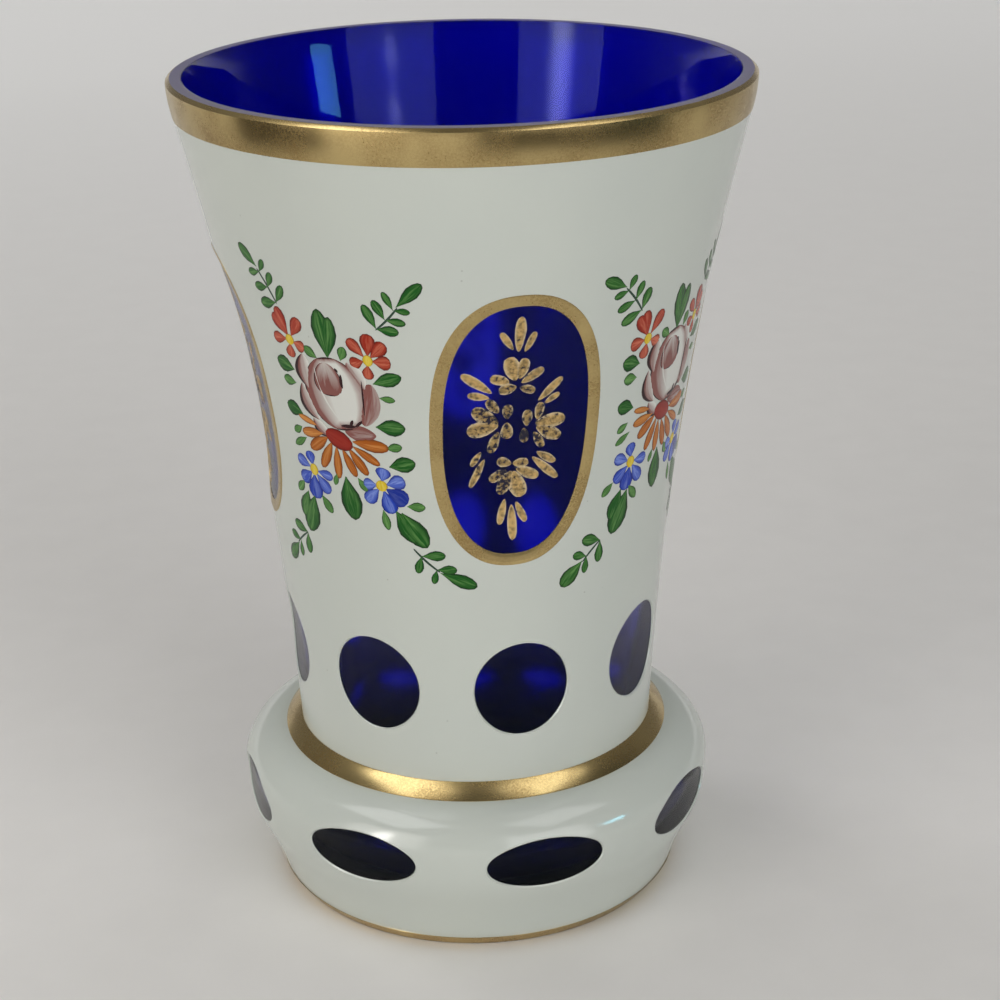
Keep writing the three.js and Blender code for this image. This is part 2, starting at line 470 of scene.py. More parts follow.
@dataclass(frozen=True)
class Window:
    """An oval ground through the white. Its half sizes are those of the blue that shows.

    A fullness of 2 makes an ellipse, and more makes squarer shoulders. The egg is how much wider its top is,
    as a share, and the lean is how far its top stands to one side, in millimetres.
    """

    azimuth: float
    z: float
    half_width: float
    half_height: float
    dish: float
    bevel: float
    points: int
    fullness: float = 2.0
    egg: float = 0.0
    lean: float = 0.0

    def spread(self, up: float) -> float:
        """How much wider than its half width the window is at a share of its half height."""
        return 1 + self.egg * up * (up + 1) / 2

    def edge_spot(self, angle: float, share: float, grow: float) -> tuple[float, float]:
        """A point of a ring round the window.

        Args:
            angle: the way to the point, in radians.
            share: the ring's size as a share of the window.
            grow: how much wider than the window it is on every side.

        Returns:
            Distances across and up from the window's middle, in millimetres.
        """
        power = 2 / self.fullness
        side = math.copysign(abs(math.cos(angle)) ** power, math.cos(angle)) * share
        up = math.copysign(abs(math.sin(angle)) ** power, math.sin(angle)) * share
        across = side * (self.half_width + grow) * self.spread(up) + self.lean * up
        return across, up * (self.half_height + grow)

    def spot(self, outside: Profile, across: float, up: float) -> tuple[float, float]:
        """A place on the side of the vase.

        Args:
            outside: the outline of the casing.
            across: distance across from the window's middle, in millimetres.
            up: distance up from its middle, in millimetres.

        Returns:
            Azimuth in degrees and length along the outline.
        """
        length = outside.length_at(self.z + up)
        turn = math.degrees(math.asin(across / outside.point(length).x))
        return self.azimuth + turn, length

    def share(self, outside: Profile, azimuth: float, length: float, grow: float = 0.0) -> float:
        """How far out from the window's middle a place lies.

        Args:
            outside: the outline of the casing.
            azimuth: the place's azimuth, in degrees.
            length: its length along the outline.
            grow: how much wider the window is taken to be on every side.

        Returns:
            0 at the middle, 1 on the edge, and infinity round the side of the vase.
        """
        place = outside.point(length)
        turn = (azimuth - self.azimuth + 180) % 360 - 180
        if abs(turn) > WINDOW_REACH:
            return math.inf
        up = (place.y - self.z) / (self.half_height + grow)
        wide = (self.half_width + grow) * self.spread(up)
        across = (place.x * math.sin(math.radians(turn)) - self.lean * up) / wide
        return (abs(across) ** self.fullness + abs(up) ** self.fullness) ** (1 / self.fullness)


def windows(kind: Window, count: int) -> list[Window]:
    """Copies of a window at even steps round the vase."""
    return [replace(kind, azimuth=kind.azimuth + i * 360 / count) for i in range(count)]


@dataclass(frozen=True)
class Cutting:
    """The cutter's pattern: what is ground through the white, and how thick the white is.

    The feather is what is left of the white at the edge of a window.
    """

    casing: float = 0.4
    feather: float = 0.03
    under_casing: float = 0.35
    edge_depth: float = 0.44
    oval: Window = Window(0.3, 137.0, 17.0, 31.5, 1.6, 2.2, 128, 2.3, 0.12, 0.6)
    round: Window = Window(3.0, 68.4, 11.7, 12.5, 1.1, 0.25, 72)
    base_oval: Window = Window(5.0, 27.3, 14.9, 6.6, 1.0, 0.25, 80)

    @property
    def bevelled(self) -> float:
        """How deep the bevel goes down into the white."""
        return self.casing - self.feather

    def all_windows(self) -> list[Window]:
        """Every window of the vase."""
        return windows(self.oval, 4) + windows(self.round, 8) + windows(self.base_oval, 8)


class Zone(Enum):
    """Where a point of the net lies at a window."""

    BLUE = -1
    EDGE = 0
    WHITE = 1


@dataclass
class NetPoint:
    """A point of the flat net, with how deep the white and the blue lie under the outline there."""

    azimuth: float
    length: float
    white_depth: float
    blue_depth: float
    zone: Zone


class QuarterNet:
    """A quarter of the vase's side as triangles that follow the window edges exactly.

    The net is flat while it is made: azimuth across, length along the outline up. Its first and last columns
    clear all windows, so four turned copies close round the vase. The grading is how far outside a window's
    bevel the rings round it lie, and the clearance is how far outside those the plain grid starts.
    """

    START = 26.5
    SPAN = 90.0
    COLUMNS = 45
    GRADING = (0.9, 2.1)
    CLEARANCE = 0.8
    LEAST_POINTS = 14
    SAME_SPOT = 1e-6
    INNER_RINGS = (0.985, 0.95, 0.88, 0.78, 0.66, 0.53, 0.39, 0.25, 0.12)

    def __init__(self, shape: VaseShape, cutting: Cutting) -> None:
        """Makes the net.

        Args:
            shape: the vase.
            cutting: its windows.
        """
        self.shape = shape
        self.cutting = cutting
        self.outside = shape.outside()
        self.rows = self.row_lengths()
        self.seeds: list[NetPoint] = []
        self.edges: list[tuple[int, int]] = []
        self.add_rings()
        self.add_grid()
        self.points, self.faces = self.triangulate()

    def row_lengths(self) -> list[float]:
        """Places the net's rows, closer where the outline bends.

        Returns:
            The length along the outline of each row.
        """
        stretches = (
            (self.shape.casing_lift, self.shape.foot_z, 1),
            (self.shape.foot_z, self.shape.belly_z, 14),
            (self.shape.belly_z, self.shape.shoulder_z, 11),
            (self.shape.shoulder_z, self.shape.neck_z, 9),
            (self.shape.neck_z, self.shape.bevel_z, 60),
        )
        rows = [0.0]
        for low, high, count in stretches:
            start, end = self.outside.length_at(low), self.outside.length_at(high)
            rows += [mix(start, end, (i + 1) / count) for i in range(count)]
        return rows

    def local_windows(self) -> list[Window]:
        """The windows whose middles lie in this quarter."""
        span = (self.START, self.START + self.SPAN)
        return [w for w in self.cutting.all_windows() if span[0] < w.azimuth < span[1]]

    def add_rings(self) -> None:
        """Adds rings of points round and inside each window."""
        cutting = self.cutting
        for window in self.local_windows():
            for extra in reversed(self.GRADING):
                self.add_ring(window, 1.0, window.bevel + extra, 0.0, cutting.under_casing, Zone.WHITE)
            for share in (1.0, 0.5):
                depth = cutting.bevelled * (1 - share)
                self.add_ring(window, 1.0, window.bevel * share, depth, cutting.under_casing, Zone.WHITE)
            self.add_ring(window, 1.0, 0.0, cutting.bevelled, cutting.edge_depth, Zone.EDGE)
            for share in self.INNER_RINGS:
                depth = cutting.edge_depth + window.dish * (1 - share ** 2)
                self.add_ring(window, share, 0.0, 0.0, depth, Zone.BLUE)
            middle = NetPoint(window.azimuth, self.outside.length_at(window.z), 0.0,
                              cutting.edge_depth + window.dish, Zone.BLUE)
            self.seeds.append(middle)

    def add_ring(
        self, window: Window, share: float, grow: float, white: float, blue: float, zone: Zone,
    ) -> None:
        """Adds one ring of points and joins them. If its share is odd in percent, it is turned half a step.

        Args:
            window: the window that it goes round.
            share: its size as a share of the window.
            grow: how much wider than that it is on every side.
            white: depth of the white there.
            blue: depth of the blue there.
            zone: where the ring lies.
        """
        count = max(self.LEAST_POINTS, round(window.points * share))
        first = len(self.seeds)
        for i in range(count):
            angle = 2 * math.pi * (i + 0.5 * (round(share * 100) % 2)) / count
            azimuth, length = window.spot(self.outside, *window.edge_spot(angle, share, grow))
            self.seeds.append(NetPoint(azimuth, length, white, blue, zone))
            self.edges.append((first + i, first + (i + 1) % count))

    def add_grid(self) -> None:
        """Adds the plain rows and columns between the windows, and the net's four sides."""
        clear = max(self.GRADING) + self.CLEARANCE
        local = self.local_windows()
        sides: dict[tuple[int, int], int] = {}
        for row, length in enumerate(self.rows):
            for column in range(self.COLUMNS + 1):
                azimuth = self.START + self.SPAN * column / self.COLUMNS
                near = any(w.share(self.outside, azimuth, length, w.bevel + clear) < 1 for w in local)
                if near:
                    continue
                sides[row, column] = len(self.seeds)
                self.seeds.append(NetPoint(azimuth, length, 0.0, self.cutting.under_casing, Zone.WHITE))
        last = len(self.rows) - 1
        for row in range(last):
            self.edges += [(sides[row, c], sides[row + 1, c]) for c in (0, self.COLUMNS)]
        for column in range(self.COLUMNS):
            self.edges += [(sides[r, column], sides[r, column + 1]) for r in (0, last)]
        self.foot_row = [sides[0, c] for c in range(self.COLUMNS + 1)]
        self.rim_row = [sides[last, c] for c in range(self.COLUMNS + 1)]

    def triangulate(self) -> tuple[list[NetPoint], list[tuple[int, int, int]]]:
        """Joins the points into triangles that keep the rings and the sides as edges.

        Returns:
            The net's points, and the point numbers of each triangle.
        """
        flat = [Vector((p.azimuth, p.length)) for p in self.seeds]
        _, _, faces, origins, _, _ = delaunay_2d_cdt(flat, self.edges, [], 0, self.SAME_SPOT, True)
        points = [self.seeds[o[0]] for o in origins]
        back = {o[0]: i for i, o in enumerate(origins)}
        self.foot_row = [back[i] for i in self.foot_row]
        self.rim_row = [back[i] for i in self.rim_row]
        return points, [tuple(f) for f in faces]

    def is_blue(self, face: Sequence[int]) -> bool:
        """Whether a face lies inside a window."""
        return sum(self.points[i].zone.value for i in face) < 0

    def place(self, point: NetPoint, depth: float) -> Vector:
        """The place in space of a net point, a depth under the outline."""
        return around(self.outside.offset(point.length, -depth), point.azimuth)


def around(place: Vector, azimuth: float) -> Vector:
    """A (radius, height) turned to an azimuth in degrees."""
    angle = math.radians(azimuth)
    return Vector((place.x * math.sin(angle), -place.x * math.cos(angle), place.y))


def quarter_tree() -> TreeMaker:
    """The tree that repeats a quarter round the axis and welds the copies into one closed body.

    Returns:
        The tree.
    """
    maker = TreeMaker("repeat_quarters", {
        "Quarters": "NodeSocketInt", "Weld Distance": "NodeSocketFloat", "Material": "NodeSocketMaterial",
    })
    marks = maker.add("GeometryNodeMeshLine", {"Count": maker.given("Quarters"), "Offset": (0.0, 0.0, 0.0)})
    index = maker.add("GeometryNodeInputIndex")
    step = maker.add(MATH, (2 * math.pi, maker.given("Quarters")), operation="DIVIDE")
    angle = maker.add(MATH, (index, step), operation="MULTIPLY")
    turn = maker.add("ShaderNodeCombineXYZ", {"Z": angle})
    copies = maker.add("GeometryNodeInstanceOnPoints", {
        "Points": marks, "Instance": maker.given("Geometry"), "Rotation": turn,
    })
    real = maker.add(REAL, (copies,))
    maker.finish(maker.add("GeometryNodeMergeByDistance", {
        "Geometry": real, "Distance": maker.given("Weld Distance"),
    }))
    return maker


def revolve_tree() -> TreeMaker:
    """The tree that turns a closed outline of vertices round the axis into a ring.

    Returns:
        The tree.
    """
    maker = TreeMaker("revolve_outline", {
        "Columns": "NodeSocketInt", "Weld Distance": "NodeSocketFloat", "Material": "NodeSocketMaterial",
    })
    size = maker.add("GeometryNodeAttributeDomainSize", (maker.given("Geometry"),), component="MESH")
    rows = maker.add(MATH, (size.outputs["Point Count"], 1.0), operation="ADD")
    columns = maker.add(MATH, (maker.given("Columns"), 1.0), operation="ADD")
    grid = maker.add("GeometryNodeMeshGrid", {
        "Size X": 1.0, "Size Y": 1.0, "Vertices X": columns, "Vertices Y": rows,
    })
    index = maker.add("GeometryNodeInputIndex")
    column = maker.add(MATH, (index, rows), operation="DIVIDE")
    whole = maker.add(MATH, (column,), operation="FLOOR")
    row = maker.add(MATH, (index, rows), operation="MODULO")
    closed = maker.add(MATH, (row, size.outputs["Point Count"]), operation="MODULO")
    position = maker.add("GeometryNodeInputPosition")
    outline = maker.add("GeometryNodeSampleIndex", {
        0: maker.given("Geometry"), "Value": position, "Index": closed,
    }, data_type="FLOAT_VECTOR", domain="POINT")
    share = maker.add(MATH, (whole, maker.given("Columns")), operation="DIVIDE")
    angle = maker.add(MATH, (share, 2 * math.pi), operation="MULTIPLY")
    turned = maker.add("ShaderNodeVectorRotate", {"Vector": outline, "Angle": angle}, rotation_type="Z_AXIS")
    ring = maker.add("GeometryNodeSetPosition", {"Geometry": grid.outputs["Mesh"], "Position": turned})
    maker.finish(maker.add("GeometryNodeMergeByDistance", {
        "Geometry": ring, "Distance": maker.given("Weld Distance"),
    }))
    return maker


@dataclass(frozen=True)
class CobaltGlass:
    """Blown cobalt blue soda glass, fire polished, with matt ground faces on the rim and under the foot."""

    name: str = "cobalt_glass_polished"
    ior: float = 1.5
    gloss: tuple[float, float, float, float] = (0.17, 0.2, 0.22, 1.0)
    polished: float = 0.02
    cut: float = 0.2
    ground: float = 0.42
    frost: str = "#A19CB4"
    frosting: float = 0.55
    absorption: str = "#0030F5"
    density: float = 700.0

    def material(self) -> Material:
        """Clear glass that drinks red and green on the way through, so thick places go nearly black.

        Returns:
            The material.
        """
        material, tree = new_material(self.name)
        ground = add_node(tree, ATTRIBUTE, attribute_name="ground").outputs["Fac"]
        matt = add_node(tree, RANGE, {"Value": ground, "To Min": self.polished, "To Max": self.ground})
        cut = add_node(tree, ATTRIBUTE, attribute_name="cut")
        roughness = add_node(tree, MATH, (cut.outputs["Fac"], self.cut, matt), operation="MULTIPLY_ADD")
        clear = add_node(tree, RANGE, {"Value": ground, "To Min": 1.0, "To Max": 1.0 - self.frosting})
        colour = add_node(tree, MIX, {
            "Factor": ground, "A": linear("#FFFFFF"), "B": linear(self.frost),
        }, data_type="RGBA")
        shader = add_node(tree, "ShaderNodeBsdfPrincipled", {
            "Base Color": colour, "Roughness": roughness, "IOR": self.ior,
            "Transmission Weight": clear, "Specular Tint": self.gloss,
        })
        drink = add_node(tree, "ShaderNodeVolumeAbsorption", {
            "Color": linear(self.absorption), "Density": self.density,
        })
        add_node(tree, "ShaderNodeOutputMaterial", {"Surface": shader, "Volume": drink})
        return material


@dataclass(frozen=True)
class OpalGlass:
    """Opaque opal white overlay glass, fire polished: glossy, a little green, faintly clouded and pitted."""

    name: str = "opal_white_overlay_glass"
    white: str = "#C8CDC5"
    cloud: str = "#C1C7C1"
    # painted light: a lighter white for the faces against the blue, which brightens the glow seen through
    # the blue glass
    inner: str = "#EEEFEC"
    pit: str = "#8E918A"
    ior: float = 1.5
    roughness: float = 0.12
    cloud_mm: float = 30.0
    pit_mm: float = 2.6
    pit_rarity: float = 0.97
    pit_edge: tuple[float, float] = (0.05, 0.11)
    pit_strength: float = 0.5

    def material(self) -> Material:
        """White body colour with broad clouding, rare small pits, a soft gloss, and a lighter white on the
        faces
        against the blue: painted light.

        Returns:
            The material.
        """
        material, tree = new_material(self.name)
        place = add_node(tree, "ShaderNodeTexCoord").outputs["Object"]
        clouds = add_node(tree, "ShaderNodeTexNoise", {
            "Vector": place, "Scale": 1 / (self.cloud_mm * MM), "Detail": 3.0,
        })
        body = add_node(tree, MIX, {
            "Factor": clouds, "A": linear(self.white), "B": linear(self.cloud),
        }, data_type="RGBA")
        cells = add_node(tree, "ShaderNodeTexVoronoi", {"Vector": place, "Scale": 1 / (self.pit_mm * MM)})
        rare = add_node(tree, "ShaderNodeSeparateColor", (cells.outputs["Color"],))
        chosen = add_node(tree, MATH, (rare, self.pit_rarity), operation="GREATER_THAN")
        dot = add_node(tree, RANGE, {
            "Value": cells, "From Min": self.pit_edge[0], "From Max": self.pit_edge[1],
            "To Min": self.pit_strength, "To Max": 0.0,
        })
        pits = add_node(tree, MATH, (chosen, dot), operation="MULTIPLY")
        colour = add_node(tree, MIX, {"Factor": pits, "A": body, "B": linear(self.pit)}, data_type="RGBA")
        # painted light: the faces against the blue take the lighter white instead of the outside's white
        inner = add_node(tree, ATTRIBUTE, attribute_name="inner")
        sides = add_node(tree, MIX, {
            "Factor": inner.outputs["Fac"], "A": colour, "B": linear(self.inner),
        }, data_type="RGBA")
        shader = add_node(tree, "ShaderNodeBsdfPrincipled", {
            "Base Color": sides, "Roughness": self.roughness, "IOR": self.ior,
        })
        add_node(tree, "ShaderNodeOutputMaterial", {"Surface": shader})
        return material


@dataclass(frozen=True)
class FiredGold:
    """Bright gold fired on glass and worn by handling: satin, mottled, rubbed brown in specks."""

    name: str = "fired_gilding_worn"
    gold: str = "#C9B27C"
    rubbed: str = "#A08556"
    roughness: float = 0.2
    worn_roughness: float = 0.36
    mottle_mm: float = 9.0
    speck_mm: float = 0.45
    wear: tuple[float, float] = (0.12, 0.5)

    def material(self) -> Material:
        """Metal with soft mottling, and fine rubbed specks that are darker and duller.

        Returns:
            The material.
        """
        material, tree = new_material(self.name)
        place = add_node(tree, "ShaderNodeTexCoord").outputs["Object"]
        mottle = add_node(tree, "ShaderNodeTexNoise", {
            "Vector": place, "Scale": 1 / (self.mottle_mm * MM), "Detail": 1.0,
        })
        specks = add_node(tree, "ShaderNodeTexNoise", {
            "Vector": place, "Scale": 1 / (self.speck_mm * MM), "Detail": 3.0,
        })
        together = add_node(tree, MATH, (mottle, specks), operation="MULTIPLY")
        wear = add_node(tree, RANGE, {"Value": together, "From Min": self.wear[0], "From Max": self.wear[1]})
        colour = add_node(tree, MIX, {
            "Factor": wear, "A": linear(self.gold), "B": linear(self.rubbed),
        }, data_type="RGBA")
        roughness = add_node(tree, RANGE, {
            "Value": wear, "To Min": self.roughness, "To Max": self.worn_roughness,
        })
        shader = add_node(tree, "ShaderNodeBsdfPrincipled", {
            "Base Color": colour, "Metallic": 1.0, "Roughness": roughness,
        })
        add_node(tree, "ShaderNodeOutputMaterial", {"Surface": shader})
        return material


@dataclass
class CobaltBody:
    """The blue glass of the vase: side with its dished windows, ground rim, inside, floor and foot.

    The foot marks are how far in from the rest radius its first two rows lie.
    """

    net: QuarterNet
    finish: CobaltGlass = field(default_factory=CobaltGlass)
    flare_rows: int = 48
    foot_marks: tuple[float, float] = (0.45, 1.0)
    hollow_shares: tuple[float, ...] = (1.0, 0.8, 0.6, 0.4, 0.2, 0.0)
    ground_reach: float = 0.02

    def build(self, repeat: TreeMaker) -> None:
        """Makes the closed body.

        Args:
            repeat: the tree that repeats a quarter round the axis.
        """
        net, shape = self.net, self.net.shape
        points = [net.place(p, p.blue_depth) for p in net.points]
        faces = list(net.faces)
        under = net.cutting.under_casing
        rim = Vector((shape.rim_radius - shape.rim_bevel, shape.height))
        lip = rim + Vector((shape.rim_bevel - under, under - shape.rim_bevel)) * 0.5
        self.lathe(points, faces, net.rim_row, [lip, rim] + shape.inside(self.flare_rows), True)
        foot = [Vector((shape.rest_radius - mark, 0.0)) for mark in self.foot_marks]
        ring = shape.rest_radius - shape.rest_ring
        hollow = [Vector((ring * s, shape.base_hollow * (1 - s ** 2))) for s in self.hollow_shares]
        self.lathe(points, faces, net.foot_row, foot + hollow, False)
        piece = mesh_object("cobalt_body_glass", points, faces)
        cut = piece.data.attributes.new("cut", "FLOAT", "FACE")
        for number, face in enumerate(net.faces):
            cut.data[number].value = float(net.is_blue(face))
        repeat.bake(piece, {"Quarters": 4, "Weld Distance": WELD * MM, "Material": self.finish.material()})
        self.mark_ground(piece)
        smooth(piece, 30)
        hand_over(piece, "cobalt_glass", "cobalt_body")

    def lathe(
        self, points: list[Vector], faces: list, row: list[int], outline: list[Vector], down: bool,
    ) -> None:
        """Carries a row of the net on along an outline, column by column.

        Args:
            points: the vertices, which grow.
            faces: the faces, which grow.
            row: the net's vertices that the outline starts from.
            outline: (radius, height) of each further row.
            down: True over the rim, False under the foot.
        """
        net = self.net
        for place in outline:
            first = len(points)
            for column in range(net.COLUMNS + 1):
                points.append(around(place, net.START + net.SPAN * column / net.COLUMNS))
            following = list(range(first, first + net.COLUMNS + 1))
            for i in range(net.COLUMNS):
                corner = (row[i], row[i + 1], following[i + 1], following[i])
                faces.append(corner if down else corner[::-1])
            row = following

    def mark_ground(self, piece: Object) -> None:
        """Marks the ground faces, the flat rim and the ring under the foot, for the finish to read.

        Args:
            piece: the glass.
        """
        top = self.net.shape.height * MM
        ground = piece.data.attributes.new("ground", "FLOAT", "FACE")
        for face in piece.data.polygons:
            from_end = min(face.center.z, top - face.center.z)
            ground.data[face.index].value = float(from_end < self.ground_reach * MM)


@dataclass
class WhiteOverlay:
    """The opal white casing, with the windows ground through it."""

    net: QuarterNet
    finish: OpalGlass = field(default_factory=OpalGlass)

    def build(self, repeat: TreeMaker) -> None:
        """Makes the casing as a closed shell.

        Args:
            repeat: the tree that repeats a quarter round the axis.
        """
        net = self.net
        casing = net.cutting.casing
        outer = [net.place(p, p.white_depth) for p in net.points]
        inner = [net.place(p, casing) for p in net.points]
        kept = [f for f in net.faces if not net.is_blue(f)]
        count = len(outer)
        faces = kept + [tuple(i + count for i in reversed(f)) for f in kept]
        sides = {net.START, net.START + net.SPAN}
        for low, high in open_edges(kept):
            on_side = all(net.points[i].azimuth in sides for i in (low, high))
            if not on_side:
                faces.append((high, low, low + count, high + count))
        piece = mesh_object("white_overlay_glass", outer + inner, faces)
        drop_loose(piece)
        repeat.bake(piece, {"Quarters": 4, "Weld Distance": WELD * MM, "Material": self.finish.material()})
        self.mark_inner_painted_light(piece)
        smooth(piece, 20)
        hand_over(piece, "opal_glass", "white_overlay")

    def mark_inner_painted_light(self, piece: Object) -> None:
        """Marks the faces that lie on the blue, for the finish to paint a lighter white there: painted light
        that brightens the glow seen through the blue glass.

        Args:
            piece: the casing.
        """
        inner = piece.data.attributes.new("inner", "FLOAT", "FACE")
        for face in piece.data.polygons:
            outwards = face.normal.x * face.center.x + face.normal.y * face.center.y
            inner.data[face.index].value = float(outwards < 0)


def open_edges(faces: Iterable[Sequence[int]]) -> list[tuple[int, int]]:
    """The directed edges that only one face has."""
    directed = {(f[i], f[(i + 1) % len(f)]) for f in faces for i in range(len(f))}
    return sorted((a, b) for a, b in directed if (b, a) not in directed)


def drop_loose(piece: Object) -> None:
    """Deletes vertices that no face uses.

    Args:
        piece: the piece, whose mesh is replaced.
    """
    mesh = piece.data
    used = sorted({i for face in mesh.polygons for i in face.vertices})
    order = {old: new for new, old in enumerate(used)}
    places = [mesh.vertices[i].co.copy() for i in used]
    faces = [[order[i] for i in face.vertices] for face in mesh.polygons]
    clean = bpy.data.meshes.new(mesh.name)
    clean.from_pydata(places, [], faces)
    piece.data = clean


@dataclass
class Gilding:
    """The fired gold: bands on the rim, the waist and the foot, and a border round each upright oval.

    A border laps over the window's edge, and its crown drops towards both sides.
    """

    net: QuarterNet
    finish: FiredGold = field(default_factory=FiredGold)
    wall: float = 0.14
    sunk: float = 0.06
    rim_height: float = 8.4
    band_rows: tuple[int, int, int] = (10, 22, 4)
    columns: int = 192
    border_width: float = 2.7
    border_lap: float = 0.15
    border_drop: float = 0.6
    border_power: int = 6
    border_points: int = 176
    border_rows: int = 7

    def build(self, revolve: TreeMaker) -> None:
        """Makes every gilded piece.

        Args:
            revolve: the tree that turns an outline round the axis.
        """
        gold = self.finish.material()
        shape = self.net.shape
        rim, neck, foot = self.band_rows
        bands = {
            "rim": self.band(shape.height - self.rim_height, shape.bevel_z, rim)[:-1] + self.over_bevel(),
            "neck": self.band(shape.shoulder_z, shape.neck_z, neck),
            "foot": self.band(shape.casing_lift, shape.foot_z, foot),
        }
        for name, marks in bands.items():
            outline = [outer for outer, _ in marks] + [inner for _, inner in reversed(marks)]
            piece = mesh_object(f"{name}_gilding_band", [Vector((p.x, 0.0, p.y)) for p in outline], [])
            revolve.bake(piece, {"Columns": self.columns, "Weld Distance": WELD * MM, "Material": gold})
            smooth(piece, 40)
            hand_over(piece, "gilding", f"{name}_gilding")
        for side, window in zip(SIDES, windows(self.net.cutting.oval, 4)):
            piece = self.border(f"oval_border_{side}", window)
            piece.data.materials.append(gold)
            smooth(piece, 40)
            hand_over(piece, "gilding", f"oval_gilding_{side}")

    def band(self, low: float, high: float, rows: int) -> list[tuple[Vector, Vector]]:
        """A stretch of the outline, gilded.

        Args:
            low: the height where it starts.
            high: the height where it ends.
            rows: the number of steps.

        Returns:
            The outer and the sunk (radius, height) at each mark.
        """
        outside = self.net.outside
        start, end = outside.length_at(low), outside.length_at(high)
        lengths = [mix(start, end, i / rows) for i in range(rows + 1)]
        return [(outside.offset(mark, self.wall), outside.offset(mark, -self.sunk)) for mark in lengths]

    def over_bevel(self) -> list[tuple[Vector, Vector]]:
        """The rim band's way on over the ground bevel, where it thins to nothing.

        Returns:
            The outer and the sunk (radius, height) at its three marks.
        """
        shape = self.net.shape
        corner = Vector((shape.rim_radius, shape.bevel_z))
        slope = Vector((-shape.rim_bevel, shape.rim_bevel))
        lift = Vector((1, 1)).normalized()
        marks = ((corner, self.wall), (corner + slope * 0.5, self.wall), (corner + slope, 0.0))
        return [(place + lift * wall, place - lift * self.sunk) for place, wall in marks]

    def border(self, name: str, window: Window) -> Object:
        """The gilt strip round an upright oval, which laps over the window's edge on to the blue.

        Args:
            name: the piece's name.
            window: the oval.

        Returns:
            The border.
        """
        outside = self.net.outside
        count, rows = self.border_points, self.border_rows
        top: list[Vector] = []
        bottom: list[Vector] = []
        for row in range(rows):
            share = row / (rows - 1)
            grow = mix(-self.border_lap, self.border_width, share)
            depth = self.net.cutting.bevelled * min(max(1 - grow / window.bevel, 0.0), 1.0)
            crown = self.wall * (1 - abs(2 * share - 1) ** self.border_power * self.border_drop)
            for i in range(count):
                edge = window.edge_spot(2 * math.pi * i / count, 1.0, grow)
                azimuth, length = window.spot(outside, *edge)
                top.append(around(outside.offset(length, crown - depth), azimuth))
                bottom.append(around(outside.offset(length, -depth - 2 * self.sunk), azimuth))
        under = len(top)
        last = under - count
        faces: list[tuple[int, ...]] = []
        for low in range(0, last, count):
            for i in range(count):
                a, b = low + i, low + (i + 1) % count
                c, d = a + count, b + count
                faces += [(a, c, d, b), (b + under, d + under, c + under, a + under)]
        for i in range(count):
            j = (i + 1) % count
            faces.append((i, j, j + under, i + under))
            faces.append((last + j, last + i, last + i + under, last + j + under))
        return mesh_object(name, top + bottom, faces)


def place_on_stroke(tree: NodeTree) -> tuple[Node, Node, Node]:
    """Where on its brush stroke a spot of paint lies.

    Args:
        tree: the material's tree.

    Returns:
        The nodes that give the shares across (X) and along (Y) the stroke, the place across it from -1 to 1,
        and how far that is from the stroke's middle line, 0 to 1.
    """
    stroke = add_node(tree, ATTRIBUTE, attribute_name="stroke")
    flat = add_node(tree, "ShaderNodeSeparateXYZ", (stroke.outputs["Vector"],))
    signed = add_node(tree, MATH, (flat, 2.0, -1.0), operation="MULTIPLY_ADD")
    return flat, signed, add_node(tree, MATH, (signed,), operation="ABSOLUTE")


